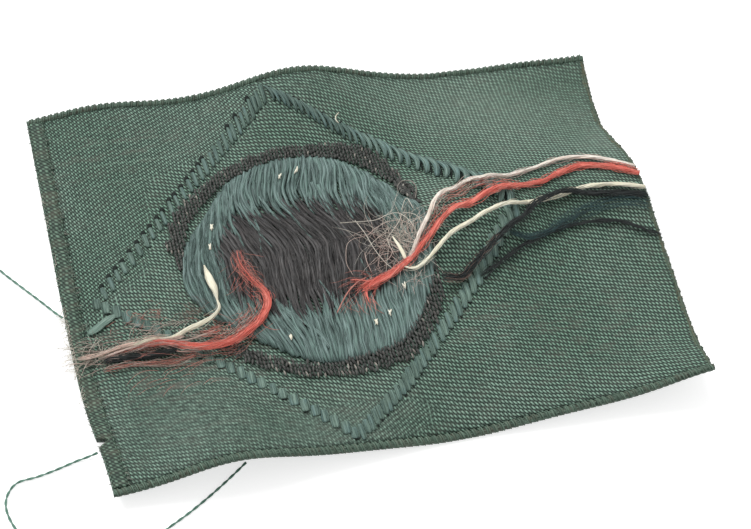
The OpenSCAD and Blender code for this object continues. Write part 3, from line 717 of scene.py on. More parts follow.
def gridCloth(name, u, columns, rows, bend, thickness):
    # A sheet of cloth between two places along the ribbon and between its selvedges, cut open at the slit.
    # Bend turns the flat places into places on the ribbon with a lift: u, v, lift.
    bpy.ops.object.select_all(action="DESELECT")
    bpy.ops.mesh.primitive_grid_add(x_subdivisions=columns, y_subdivisions=rows, size=2)
    sheet = bpy.context.object
    sheet.name = name
    mesh = sheet.data
    mesh.name = name
    mesh.uv_layers[0].name = "clothMap"
    rowWidth = 2 * innerWidth / rows
    cutRow = round((slit["place"] + innerWidth) / rowWidth)
    cutHeight = -1 + 2 * cutRow / rows
    cutEnd = -1 + 2 * (slit["reach"] + 0.01) / (u[1] - u[0])
    bpy.ops.object.mode_set(mode="EDIT")
    bpy.ops.mesh.select_mode(type="EDGE")
    bpy.ops.mesh.select_all(action="DESELECT")
    bpy.ops.object.mode_set(mode="OBJECT")
    for edge in mesh.edges:
        ends = [mesh.vertices[i].co for i in edge.vertices]
        edge.select = all(abs(p.y - cutHeight) < 1e-4 and p.x < cutEnd for p in ends)
    bpy.ops.object.mode_set(mode="EDIT")
    bpy.ops.mesh.edge_split(type="EDGE")
    bpy.ops.object.mode_set(mode="OBJECT")
    flat = readAll(mesh.vertices, "co", 3)
    lip = np.where(flat[:, 1] > cutHeight, 1.0, -1.0)
    for face in mesh.polygons:
        for i in face.vertices:
            if abs(flat[i, 1] - cutHeight) < 1e-4:
                lip[i] = 1.0 if face.center.y > cutHeight else -1.0
    placeU = u[0] + (flat[:, 0] + 1) / 2 * (u[1] - u[0])
    placeV = flat[:, 1] * innerWidth
    # The nearest row of the grid moves onto the slit
    shift = slit["place"] + innerWidth - cutRow * rowWidth
    placeV = placeV + shift * np.exp(-np.abs(placeV - slit["place"]))
    placeU, placeV, lift = bend(placeU, placeV)
    placeV = openSlit(placeU, placeV, lip)
    mesh.vertices.foreach_set("co", clothPoints(placeU, placeV, lift).ravel())
    solidify = sheet.modifiers.new("thickness", "SOLIDIFY")
    solidify.thickness = thickness * mm
    solidify.offset = -1
    bpy.ops.object.modifier_apply(modifier=solidify.name)
    mesh.polygons.foreach_set("use_smooth", [True] * len(mesh.polygons))
    return sheet


def clothRelief(u, v):
    # Small unevenness of the woven ground
    wave = np.sin(1.9 * u + 0.8 * np.sin(0.7 * v)) * np.sin(1.3 * v + 0.9 * np.sin(0.5 * u))
    fine = np.sin(4.3 * u + 1.7 * v) * np.sin(3.1 * v - 0.9 * u)
    return groundCloth["relief"] * (0.7 * wave + 0.3 * fine)


def makeGroundCloth():
    right = halfLength - cloth["cut"] - cloth["edge"]
    sheet = gridCloth("groundCloth", (-halfLength, right), groundCloth["columns"], groundCloth["rows"],
                      lambda u, v: (u, v, clothTop + clothRelief(u, v)), cloth["thickness"])
    x, y = readAll(sheet.data.vertices, "co", 3)[:, :2].T / mm
    for name in ("dust", "pale", "rising", "ribbed", "faint"):
        values = bells(x, y, groundCloth[name])
        sheet.data.attributes.new(name, "FLOAT", "POINT").data.foreach_set("value", values)
    material, wires, look = weaveMaterial("groundWeave", groundCloth)
    amounts = groundCloth["dusty"], groundCloth["tintAmount"]
    dust = wires.maths("MULTIPLY_ADD", wires.attribute("dust"), *amounts)
    wires.feed(dust, look.inputs["Tint Amount"])
    for label in ("Rising", "Ribbed", "Faint"):
        wires.feed(wires.attribute(label.lower()), look.inputs[label])
    # Painted sheen at the upper right and paler patches blend the colour towards a pale green
    share, code = groundCloth["sheenAndPale"]
    pale = wires.maths("MULTIPLY", wires.attribute("pale"), share)
    colour = wires.blend(pale, look.outputs["Color"], paint(code))
    # A row of small holes runs inside each selvedge, painted as dark dots of shade
    share, code, pitch = groundCloth["shadeHoles"]
    along, across = wires.split(wires.add("ShaderNodeUVMap", uv_map="clothMap").outputs[0])[:2]
    edge = wires.maths("SUBTRACT", 0.5, wires.maths("ABSOLUTE", wires.maths("SUBTRACT", across, 0.5)))
    edge = wires.maths("MULTIPLY", edge, 2 * innerWidth)
    band = wires.maths("SUBTRACT", 1.0, wires.spread(edge, 0.25, 0.5))
    beat = wires.maths("SINE", wires.maths("MULTIPLY", along, 2 * math.pi * 2 * halfLength / pitch))
    shadeHoles = wires.maths("MULTIPLY", band, wires.spread(beat, -0.2, 0.6))
    colour = wires.blend(wires.maths("MULTIPLY", shadeHoles, share), colour, paint(code))
    share, code, scale = groundCloth["clouds"]
    spots = wires.stretch(wires.add("ShaderNodeTexCoord").outputs["Object"], (scale, scale, scale))
    broad = wires.spread(wires.noise(spots, 1.0), 0.35, 0.7)
    colour = wires.blend(wires.maths("MULTIPLY", broad, share), colour, paint(code), "SOFT_LIGHT")
    wires.feed(colour, material.node_tree.nodes["Principled BSDF"].inputs["Base Color"])
    sheet.data.materials.append(material)
    return place(sheet, "ground_weave")


selvedge = {
    "bump": 0.6, "swell": (0.88, 0.24), "seed": 7, "shade": 0.35, "sides": 10,
    # The slanting stitches: two at each bump, their reach round the cord, slant, width and height
    "reach": 0.33, "slant": 0.16, "width": 0.2, "height": 0.16,
}


def makeSelvedge(name, side):
    # A cord with a bump at every stitch, and the slanting stitches that bind it to the cloth
    chance = np.random.default_rng(selvedge["seed"] + side)
    middle = cloth["selvedge"] / 2
    u = np.arange(-halfLength, halfLength + 0.01, 0.08)
    beat = np.abs(np.sin(math.pi * u / selvedge["bump"])) ** 0.6
    least, swell = selvedge["swell"]
    cord = clothPoints(u, side * (halfWidth - middle), middle)
    width = cloth["selvedge"] * (least + swell * beat)
    made = [strand(cord, width, None, selvedge["shade"], selvedge["sides"])]
    t = np.linspace(0, math.pi, 8)
    for at in np.arange(-halfLength + 0.36, halfLength - 0.4, selvedge["bump"]):
        for part in (0, 1):
            reach = selvedge["reach"] + 0.03 * part
            along = at + 0.2 * part - 0.1 + np.linspace(-selvedge["slant"], selvedge["slant"], 8)
            across = side * (halfWidth - middle - reach * np.cos(t))
            points = clothPoints(along, across, middle + reach * np.sin(t))
            made.append(strand(points, selvedge["width"] * taper(8, 0.3, 0.3, 0.5), selvedge["height"],
                               chance.uniform(0.35, 0.85), 5))
    addStrands(name, made, "olive")


turnedEnd = {
    # The turned edge's section, from its raw edge over the fold: [distance from the left edge, lift on top]
    "profile": [(1.5, 0.52), (1.35, 0.6), (1.0, 0.66), (0.6, 0.68), (0.3, 0.64), (0.08, 0.5), (-0.02, 0.3),
                (0.05, 0.12)],
    "thickness": 0.16, "columns": 14, "rows": 150, "seed": 5, "ends": 130, "endWidth": (0.07, 0.13),
    "dark": "#14241C", "light": "#76927F", "tint": "#6C6557", "tintAmount": 0.25,
    "looks": {"Rising": 0.9, "Faint": 0.35},
}


def makeTurnedEnd():
    chance = np.random.default_rng(turnedEnd["seed"])
    awayRow, liftRow = np.array(turnedEnd["profile"])[::-1].T
    shares = np.linspace(0, 1, len(awayRow))

    def fold(u, v):
        t = (u + halfLength) / cloth["turned"]
        raw = 0.09 * np.sin(3.1 * v) * np.sin(0.9 * v + 1) + 0.05 * np.sin(8.7 * v)
        lift = np.interp(t, shares, liftRow) + 0.03 * np.sin(5.3 * v) * t
        return -halfLength + np.interp(t, shares, awayRow) + raw * t, v, lift

    strip = gridCloth("turnedLeftEnd", (-halfLength, -halfLength + cloth["turned"]), turnedEnd["columns"],
                      turnedEnd["rows"], fold, turnedEnd["thickness"])
    material, wires, look = weaveMaterial("turnedWeave", turnedEnd)
    fill(look, turnedEnd["looks"])
    # The strip's own map has the same threads in each mm as the ground
    places = strip.data.uv_layers[0].data
    places.foreach_set("uv", (readAll(places, "uv", 2) * (cloth["turned"] / 2 / halfLength, 1)).ravel())
    strip.data.materials.append(material)
    place(strip, "turned_weave")
    # Thread ends and small loops along the fold and along the raw edge
    made = []
    for i in range(turnedEnd["ends"]):
        v = chance.uniform(-innerWidth, innerWidth)
        if i % 2:
            lift = chance.uniform(0.25, 0.7)
            u = -halfLength + np.linspace(0.1, 0.1 - chance.uniform(0.1, 0.3), 5)
            lifts = np.linspace(lift, lift + chance.uniform(-0.2, 0.1), 5)
        else:
            u = -halfLength + cloth["turned"] + np.linspace(-0.2, chance.uniform(0.2, 0.6) - 0.2, 5)
            lifts = np.linspace(0.84, 0.56, 5)
        made.append(strand(clothPoints(u, v + chance.uniform(-0.3, 0.3) * np.linspace(0, 1, 5) ** 2, lifts),
                           chance.uniform(*turnedEnd["endWidth"]) * taper(5, 0, 0.5), None,
                           chance.uniform(0.2, 0.9), 4))
    addStrands("turnedEdgeThreads", made, "groundEnds", False)


cutEdge = {
    "pitch": 0.208, "seed": 8, "start": 0.15, "lift": 0.27, "width": 0.21, "height": 0.3,
    # The last weft threads beside the cut: how far out, their lift, shade and width
    "wefts": [(0.08, 0.34, 0.6, 0.24), (0.3, 0.34, 0.4, 0.24), (0.47, 0.3, 0.9, 0.04)],
}


def makeCutEdge():
    chance = np.random.default_rng(cutEdge["seed"])
    start = halfLength - cloth["cut"] - cloth["edge"] - cutEdge["start"]
    made = []
    for v in np.arange(-innerWidth + 0.1, innerWidth, cutEdge["pitch"]):
        u = np.linspace(start, halfLength + chance.normal(-0.06, 0.035), 5)
        lift = cutEdge["lift"] + 0.06 * np.sin(np.linspace(0, 3, 5) + chance.uniform(0, 3))
        width = cutEdge["width"] * taper(5, 0, 0.2, 0.7)
        made.append(strand(clothPoints(u, v, lift), width, cutEdge["height"], chance.uniform(0.2, 0.7), 5))
    v = np.arange(-innerWidth, innerWidth + 0.01, 0.25)
    for away, lift, shade, width in cutEdge["wefts"]:
        points = clothPoints(start + away + 0.02 * np.sin(7 * v), v, lift + 0.03 * np.sin(15 * v))
        made.append(strand(points, width, None, shade, 5))
    addStrands("rightCutEdge", made, "cutEnds")


# The diamond

diamond = {
    "seed": 21, "thread": 0.09, "filaments": 7,
    # Where the first float lies and how far from the side tip the last one, in mm, and how much floats vary
    "start": 0.3, "stop": 0.4, "long": (0.86, 1.1), "wide": (0.88, 1.12), "shade": (0.6, 1.4),
    # Floats this wide have painted shade, a dark line of this width, in the gap between them, unless
    # their ends are broad
    "shadeGapFrom": 0.62, "gap": 0.2, "broadEnds": 0.7,
    # Each side has its way from the middle, the half sizes of the painted shade in the holes at its float
    # ends,
    # how wide the float ends are, and rows of values at even steps from the top or bottom tip to the side
    # tip:
    # the floats' spacing, slant along the ribbon, bulge, length, width, height, arch and shade, how far the
    # side lies out, and the share of float ends with a hole painted in shade.
    "sides": {
        "diamondUpperLeftFloats": {
            "way": (-1, 1), "hole": (0.24, 0.34), "ends": 0.66, "yarn": "borderSoft", "rows": {
                "pitch": (0.46, 0.56, 0.72, 0.77, 0.77), "slant": (0.1, 0.2, 0.2), "bulge": (0, 0),
                "long": (2.3, 2.1, 1.7, 1.45, 1.45), "width": (0.46, 0.47, 0.52, 0.55, 0.56),
                "height": (0.16, 0.07), "arch": (0.14, 0.03), "shade": (0.12, 0.18, 0.35, 0.45, 0.35),
                "out": (-1.3, -0.9, -1.05, -1.3, -1.1), "pits": (0.1, 0.5, 0.97, 0.97, 0.97)}},
        "diamondUpperRightFloats": {
            "way": (1, 1), "hole": (0.1, 0.16), "ends": 0.35, "yarn": "border", "rows": {
                "pitch": (0.46, 0.5, 0.62, 0.8, 0.82), "slant": (-0.6, -0.6, -0.3, 0, 0.25),
                "bulge": (0.1, 0.1, 0.25, 0.45, 0.45), "long": (2.2, 2.0, 2.7, 3.4, 3.0),
                "width": (0.36, 0.36, 0.5, 0.8, 0.84), "height": (0.22, 0.24, 0.28, 0.34, 0.34),
                "arch": (0.2, 0.2), "shade": (0.35, 0.5, 0.95, 0.65, 0.6),
                "out": (-1.5, -0.85, 0.3, 0.8, 0.5), "pits": (0.3, 0.3)}},
        "diamondLowerRightFloats": {
            "way": (1, -1), "hole": (0.09, 0.09), "ends": 0.75, "yarn": "borderSoft", "rows": {
                "pitch": (0.5, 0.5, 0.56, 0.7, 0.77), "slant": (0.15, 0.1, 0.05, 0, 0),
                "bulge": (0, 0.03, 0.05, 0.12, 0.16), "long": (1.4, 1.6, 1.9, 2.0, 2.2),
                "width": (0.6, 0.6, 0.66, 0.8, 0.84), "height": (0.08, 0.07, 0.07, 0.12, 0.12),
                "arch": (0.02, 0.02, 0.02, 0.05, 0.05), "shade": (0.5, 0.55, 0.6, 0.8, 0.75),
                "out": (-0.8, 0.2, 0.2, 0, -1.0), "pits": (0.3, 0.7)}},
        "diamondLowerLeftFloats": {
            "way": (-1, -1), "hole": (0.22, 0.01), "ends": 0.8, "yarn": "borderSoft", "rows": {
                "pitch": (0.77, 0.77), "slant": (0, 0), "bulge": (0, 0), "long": (1.2, 1.25),
                "width": (0.92, 0.9), "height": (0.05, 0.05), "arch": (0.01, 0.02), "shade": (0.6, 0.5),
                "out": (-0.7, -0.1, 0.2, 0.3, 0.3), "pits": (0.4, 0.3)}},
    },
}


def makeDiamondSide(name, pits):
    facts = diamond["sides"][name]
    right, top = facts["way"]
    chance = np.random.default_rng(diamond["seed"] + right + 3 * top)
    made = []
    start = diamond["start"]
    t = np.linspace(0, 1, 9)
    arch = np.sin(math.pi * t)
    while start < badge["tip"] - diamond["stop"]:
        u = start + chance.normal(0, 0.05)
        row = {part: float(np.interp(u / badge["tip"], np.linspace(0, 1, len(values)), values))
               for part, values in facts["rows"].items()}
        start += row["pitch"]
        long = row["long"] * chance.uniform(*diamond["long"])
        across = u + row["slant"] * chance.uniform(0.8, 1.15) * (t - 0.5) + row["bulge"] * arch
        up = badge["tip"] - u + row["out"] + long * (t - 0.5)
        lift = clothTop + 0.05 + row["height"] * 0.4 + row["arch"] * arch ** 0.7 + chance.uniform(-0.02, 0.03)
        points = clothPoints(badge["centre"] + right * across, top * up, lift)
        wide = row["width"] * chance.uniform(*diamond["wide"])
        swell = facts["ends"] + (1 - facts["ends"]) * np.sin(math.pi * np.clip(t * 0.92 + 0.04, 0, 1)) ** 0.6
        shade = row["shade"] * chance.uniform(*diamond["shade"])
        made += bundle(points, chance, diamond["filaments"], wide, row["height"], diamond["thread"],
                       loose=0.05, core=0.8, shade=shade, narrow=swell, uneven=0.45)
        if wide > diamond["shadeGapFrom"] and facts["ends"] < diamond["broadEnds"]:
            # Painted shade: a dark line in the gap between two broad floats
            places = badge["centre"] + right * (across + row["pitch"] / 2), top * (up - 0.3)
            gap = clothPoints(*places, clothTop + 0.1)
            pits.append(strand(gap, diamond["gap"] * taper(9, 0.3, 0.3, 0.3), 0.12, 0.4, 5))
        if chance.uniform() < row["pits"]:
            # Painted shade: a dark disc for the hole at a float's end, drawn along its longer side
            spot = np.linspace(-1, 1, 4)
            wide, deep = facts["hole"]
            reachU, reachV = (0.2 * deep, deep) if deep > wide else (wide, 0)
            middleU = badge["centre"] + right * across[-1] + chance.normal(0, 0.04)
            path = clothPoints(middleU + reachU * spot, top * (up[-1] + 0.1) + reachV * spot, clothTop + 0.06)
            pits.append(strand(path, 2 * min(wide, deep) * taper(4, 0.5, 0.5, 0.4) + 0.08, 0.1, 0.2, 5))
    addStrands(name, made, facts["yarn"])


paleStrip = {
    "route": [(-26.0, -3.5), (-25.2, -3.3), (-24.3, -2.95), (-23.4, -2.6)], "lift": (0.25, 0.27, 0.27, 0.22),
    "seed": 4,
    "shape": {"count": 12, "width": 0.85, "height": 0.2, "thread": 0.1, "loose": 0.05, "core": 0.85},
}


def makePaleStrip():
    line = laidLine(paleStrip["route"], 0.3, paleStrip["lift"])
    made = bundle(line, np.random.default_rng(paleStrip["seed"]), narrow=taper(len(line), 0.1, 0.3, 0.45),
                  **paleStrip["shape"])
    addStrands("diamondLeftStrip", made, "paleStrip")


# The ring

ring = {
    "pitch": 0.31, "size": 0.28, "seed": 31, "stagger": 0.62, "inner": 11.4, "pale": 0.05,
    # Spread of the beads' lengths, their step in lengths, how far their row lies inside the rim and a bead
    # may reach past it, the width of the outer row, and lift and swell of a bead
    "long": (0.8, 1.35), "step": 0.92, "inside": 0.12, "past": 0.15, "outerRow": 0.4, "lift": 0.15,
    "swell": 0.1,
    # Width of a pale bead, a painted highlight, and height of all, as shares of their size
    "litWidth": 0.75, "height": 0.85,
    # Where the ring bulges or draws in: at a direction in degrees, how wide, how far in mm
    "bulges": [(55, 14, 1.0), (24, 12, -1.3), (-13, 16, -1.45), (150, 14, 0.6), (84, 20, -0.35),
               (173, 8, -0.6), (-62, 16, 0.8)],
    # Which way each arc's beads lean, its first and last direction in degrees, and the length of its beads
    "arcs": {"ringUpperFloats": (1, 19, 176, 0.33), "ringLowerFloats": (-1, -143, -8, 0.46)},
    # Directions between which the outer row has many pale beads as painted highlights, and their share
    "litRows": [(100, 168, 0.4), (-125, -45, 0.3)],
}


def ringShift(turn):
    # How far the ring lies outside a true circle, in mm, for a direction in degrees
    away = [((turn - middle + 180) % 360 - 180) / wide for middle, wide, far in ring["bulges"]]
    return sum(far * np.exp(-part ** 2) for part, (middle, wide, far) in zip(away, ring["bulges"]))


def chord(radius, x):
    return math.sqrt(max(radius * radius - x * x, 0.0))


def makeRingArc(name):
    side, first, last, bead = ring["arcs"][name]
    chance = np.random.default_rng(ring["seed"] + side)
    reach = badge["ring"] + 1
    made, light = [], []
    t = np.linspace(-0.5, 0.5, 5)
    for u in np.arange(-reach, reach, ring["pitch"]):
        held = round(u / ring["stagger"]) * ring["stagger"]
        v = -reach + chance.uniform(0, bead)
        while v < reach:
            long = bead * chance.uniform(*ring["long"])
            v += long * ring["step"]
            turn = math.degrees(math.atan2(v, u))
            out = badge["ring"] + ringShift(turn)
            far = math.hypot(u, v)
            inside = ring["inner"] + 0.3 * (out - badge["ring"]) <= far <= out + ring["past"]
            if not (inside and first < turn < last and math.hypot(held, v) <= out - ring["inside"]):
                continue
            lean = chance.normal(0.1 * side, 0.2)
            lift = clothTop + ring["lift"] + ring["swell"] * np.cos(t * math.pi) + chance.uniform(-0.03, 0.09)
            points = clothPoints(badge["centre"] + u + lean * t * long + chance.normal(0, 0.02),
                                 badge["across"] + v + t * long, lift)
            outer = out - far < ring["outerRow"]
            rows = [share for start, stop, share in ring["litRows"] if outer and start < turn < stop]
            # Pale beads are a lighter copy of the black yarn: painted highlights
            isLit = chance.uniform() < (rows or [ring["pale"]])[0]
            shade = chance.uniform(0.3, 1.1) if isLit else chance.uniform(0.0, 0.4)
            width = ring["size"] * (ring["litWidth"] if isLit else 1) * taper(5, 0.45, 0.45, 0.4)
            (light if isLit else made).append(strand(points, width, ring["size"] * ring["height"], shade, 5))
    addStrands(name, made, "ringBlack")
    addStrands(name + "Light", light, "ringPale", False)


frayedEnd = {
    "strands": [
        [(4.9, 6.2), (5.0, 5.2), (5.3, 4.3), (5.3, 3.2), (5.1, 2.4)],
        [(4.5, 6.0), (4.6, 5.0), (5.0, 4.2), (5.6, 4.4), (5.5, 5.2), (5.0, 5.4)],
        [(5.3, 5.7), (5.8, 5.0), (5.8, 4.0), (5.6, 3.0)],
        [(5.0, 5.5), (4.7, 4.8), (4.9, 4.0)],
        [(5.5, 4.6), (5.3, 3.8), (5.6, 3.1), (6.0, 2.5)]],
    "loop": [(4.4, 4.6), (4.6, 5.3), (5.2, 5.75), (5.9, 5.4), (6.1, 4.6), (5.9, 3.7), (5.6, 3.0)], "seed": 6,
    "shape": {"count": 5, "width": 0.3, "height": 0.22, "thread": 0.1, "pitch": 1.5, "loose": 0.08,
              "fray": (0, 0.3), "core": 0.6},
    "loopShape": {"count": 3, "width": 0.16, "height": 0.14, "thread": 0.08, "pitch": 2.0, "loose": 0.03},
}


def makeFrayedEnd():
    chance = np.random.default_rng(frayedEnd["seed"])
    made = []
    for route in frayedEnd["strands"]:
        line = laidLine(route, 0.2, lambda u, v: 0.25 + 0.1 * np.sin(3 * u))
        made += bundle(line, chance, shade=chance.uniform(0, 0.4), **frayedEnd["shape"])
    addStrands("ringFrayedEnd", made, "ringBlack")
    # The loop is drawn in the lighter, lit copy of the black yarn
    line = laidLine(frayedEnd["loop"], 0.2, 0.4)
    addStrands("ringEndLoop", bundle(line, chance, **frayedEnd["loopShape"]), "ringPale", False)


# The disc

disc = {
    "seed": 51, "step": 0.5, "thread": 0.08, "wide": 1.035,
    # Share of the width with yarns, shortest yarn, how far green and black yarns reach over one another
    "filled": 0.985, "least": 1.5, "greenOver": 1.0, "blackOver": 0.2,
    # The black patch: its middle from the disc's, its half sizes, and how square its outline is
    "patch": (-0.1, 0.2, 8.3, 6.9, 2.9),
    # Each layer: yarns over the full width, their width and height, lift of the middle, filaments, shades.
    # The lower layer's darker shades are painted shade in the gaps between the upper yarns.
    "layers": [(60, 0.6, 0.22, 0.25, 4, (0.0, 0.4)), (66, 0.36, 0.2, 0.42, 6, (0.2, 1.0))],
    # Single loose filaments over both
    "loose": [("discLooseGreen", "blueGreen", 560), ("discLooseBlack", "discBlack", 380)],
    "looseThick": 0.055,
    # Pointed green yarns that lie over the black patch: places [along, across], width
    "wisps": [
        ([(-2.6, 7.2), (-2.4, 5.4), (-2.0, 3.2), (-1.7, 1.0)], 0.7),
        ([(-3.1, 7.6), (-2.9, 5.8), (-2.4, 3.6)], 0.5),
        ([(-6.6, 7.2), (-6.2, 5.2), (-5.4, 3.2), (-4.5, 1.2)], 0.35),
        ([(-8.2, 7.0), (-7.7, 5.4), (-6.9, 3.6)], 0.45),
        ([(-9.0, 6.8), (-9.2, 5.0), (-9.1, 2.8), (-9.4, 0.7)], 0.4),
        ([(-10.2, 6.6), (-9.8, 4.8), (-8.8, 2.2), (-8.3, 1.0)], 0.45),
        ([(-11.7, 6.2), (-11.4, 4.6), (-11.0, 3.0), (-10.8, 1.5)], 0.4),
        ([(-10.7, -1.4), (-10.2, -2.8), (-9.4, -4.6), (-8.4, -6.6), (-7.4, -8.6), (-7.0, -10.4)], 0.5),
        ([(-9.4, -4.4), (-8.6, -5.8), (-7.4, -7.4), (-6.2, -9.0), (-5.7, -10.6)], 0.5),
        ([(-5.0, -3.4), (-4.4, -5.2), (-4.0, -7.2), (-4.1, -9.6)], 0.35),
        ([(-0.8, -1.8), (-0.5, -3.4), (-0.1, -5.4), (-0.2, -8.0)], 0.4),
        ([(1.5, -1.6), (1.6, -3.4), (1.5, -5.4), (1.2, -8.0)], 0.5),
        ([(0.6, 4.6), (0.9, 2.8), (1.3, 1.2)], 0.4),
        ([(-0.6, 5.6), (-0.6, 3.8), (-0.3, 2.6)], 0.4)],
}


def flow(share, v):
    # Where a yarn of the disc lies along the ribbon, for its share of the width and a place across
    reach = (v - badge["across"]) / badge["disc"]
    squeeze = np.where(share < 0, 0.8, np.where(reach < 0, 0.15, 0.5)) * share * share * reach * reach
    sway = -1.0 * np.exp(-((v - 6.8) / 2.8) ** 2) + 0.55 * np.exp(-((v + 0.5) / 3.4) ** 2)
    sway = sway * (1 - share ** 2) ** 1.5
    sway = sway + 2.6 * np.clip(share, 0, 1) * (1 - np.abs(share)) * np.exp(-((v - 8) / 3.4) ** 2)
    sway = sway - 0.9 * np.clip(share, 0, 1) ** 4 * np.exp(-((v - 4) / 3) ** 2)
    sway = sway - 0.9 * np.clip(share, 0, 1) ** 4 * np.exp(-((v + 3) / 3.2) ** 2)
    sway = sway + 1.2 * np.exp(-((share + 0.4) / 0.35) ** 2) * (1 / (1 + np.exp((v + 7) / 0.9)))
    sway = sway + 0.1 * np.sin(5.2 * share + 0.75 * v) + 0.07 * np.sin(17 * share - 1.3 * v + 1)
    return badge["centre"] + badge["disc"] * disc["wide"] * share * (1 - squeeze) + sway


def darkLean(v):
    # The black yarns start further left at the top, so that they lie aslant there
    return -0.27 * np.clip(v - 0.5, 0, 7)


def patchEdge(u, top, chance):
    # End of the black patch at a place along; neighbours end in a ragged line
    along, across, reachU, reachV, square = disc["patch"]
    x = abs((u - badge["centre"] - along) / reachU)
    if x > 0.97:
        return None
    reach = reachV * (1 - x ** square) ** (1 / square) + chance.uniform(-1.9, 0.7)
    return badge["across"] + across + top * reach


def rimLift(v, low, high, lift):
    # The yarns dip into the cloth at the disc's edge
    near = np.minimum(high - v, v - low)
    return clothTop + lift - (lift - 0.1) * np.exp(-np.clip(near, 0, 9) / 0.5)


def makeDisc():
    chance = np.random.default_rng(disc["seed"])
    green, black = [], []
    for count, width, height, lift, filaments, shades in disc["layers"]:
        for i in range(count):
            share = 2 * disc["filled"] * (i + 0.5 + chance.uniform(-0.35, 0.35)) / count - disc["filled"]
            edge = chord(badge["disc"], share * badge["disc"])
            high = badge["across"] + edge + chance.uniform(-0.1, 0.1)
            further = 0.7 * math.exp(-((share - 0.55) / 0.3) ** 2)
            low = badge["across"] - edge - further + chance.uniform(-0.1, 0.15)
            u = float(flow(share, 0.0))
            top, bottom = patchEdge(u, 1, chance), patchEdge(u, -1, chance)
            spans = [(low, high, green)]
            if top is not None and top > bottom + 1.2:
                over, under = disc["greenOver"], disc["blackOver"]
                spans = [(top - over, high, green), (low, bottom + over, green),
                         (bottom - under, top + under, black)]
            for start, stop, group in spans:
                if stop - start < disc["least"]:
                    continue
                v = np.arange(start, stop, disc["step"])
                rise = rimLift(v, low, high, lift + chance.uniform(-0.05, 0.05))
                rise = rise + 0.03 * np.sin(2.1 * v + 9 * share) + (0.04 if group is green else 0)
                side = flow(share, v) + drift(v, chance, 7.0, 0.15)
                narrow = None
                if len(spans) > 1:
                    ends = [0.3 if start > low + 0.5 else 0, 0.3 if stop < high - 0.5 else 0]
                    narrow = taper(len(v), *ends, 0.1)
                bright = chance.uniform(*shades)
                # Green yarns are painted lighter towards the disc's right side: painted light
                if group is green:
                    bright += (0.45 if start > 0 else 0.5) * float(np.clip(share + 0.1, 0, 0.8))
                else:
                    side = side + darkLean(v)
                wide = width * chance.uniform(0.7, 1.2)
                group += bundle(clothPoints(side, v, rise), chance, filaments, wide, height, disc["thread"],
                                loose=0.07, core=0.85, shade=bright, narrow=narrow, uneven=0.5)
    for route, width in disc["wisps"]:
        line = laidLine(route, 0.4, 0.47)
        ends = (1, 0.12) if route[0][1] > 0 else (0.15, 1)
        green += bundle(line, chance, 7, width, 0.14, disc["thread"], 0, 0.05, core=0.8,
                        shade=chance.uniform(0.4, 0.9), narrow=np.linspace(*ends, len(line)))
    addStrands("discGreenFloats", green, "blueGreen")
    addStrands("discBlackFloats", black, "discBlack")


def makeLooseFilaments():
    # Single filaments that wander over the disc's yarns
    chance = np.random.default_rng(disc["seed"] + 1)
    along, across, reachU, reachV, square = disc["patch"]
    for name, yarn, count in disc["loose"]:
        made = []
        while len(made) < count:
            share = chance.uniform(-0.95, 0.95)
            edge = chord(badge["disc"], share * badge["disc"]) - 0.2
            long = chance.uniform(2.5, 8.0)
            start = badge["across"] + chance.uniform(-edge, edge)
            stop = min(start + long, badge["across"] + edge)
            if stop - start < disc["least"]:
                continue
            v = np.arange(start, stop, 0.55)
            side = flow(share, v) + drift(v, chance, 9.0, 0.35)
            if yarn == "discBlack":
                side = side + darkLean(v)
            dark = np.abs((side - badge["centre"] - along) / reachU) ** square
            dark = dark + np.abs((v - badge["across"] - across) / reachV) ** square
            keep = dark < 1.05 if yarn == "discBlack" else dark > 0.75
            if not keep.all():
                continue
            rise = rimLift(v, badge["across"] - edge, badge["across"] + edge, chance.uniform(0.48, 0.56))
            points = clothPoints(side, v, rise + drift(v, chance, 5.0, 0.03))
            made.append(strand(points, disc["looseThick"] * taper(len(v), 0.1, 0.1), None,
                               chance.uniform(0, 1.3), 3))
        addStrands(name, made, yarn, False)


ties = {
    "places": [(-5.9, 8.7), (-4.2, 9.1), (-13.2, 4.4), (-13.9, 2.1), (-8.9, -9.0), (-1.1, -8.9), (0.5, -8.0),
               (2.4, -5.6)],
    "seed": 3, "width": 0.16, "height": 0.12, "lift": 0.62, "heading": (0.9, 1.9), "long": (0.4, 0.75),
}


def makeTies():
    chance = np.random.default_rng(ties["seed"])
    made = []
    t = np.linspace(-0.5, 0.5, 6)
    for u, v in ties["places"]:
        for _ in range(3):
            turn = chance.uniform(*ties["heading"])
            long = t * chance.uniform(*ties["long"])
            side = chance.uniform(-0.15, 0.15)
            points = clothPoints(u + side + long * math.cos(turn), v + side + long * math.sin(turn),
                                 clothTop + ties["lift"] + 0.1 * np.cos(t * 3))
            made.append(strand(points, ties["width"] * taper(6, 0.4, 0.4, 0.4), ties["height"],
                               chance.uniform(0.5, 1), 5))
    addStrands("tieStitches", made, "cream")


# The yarn tails

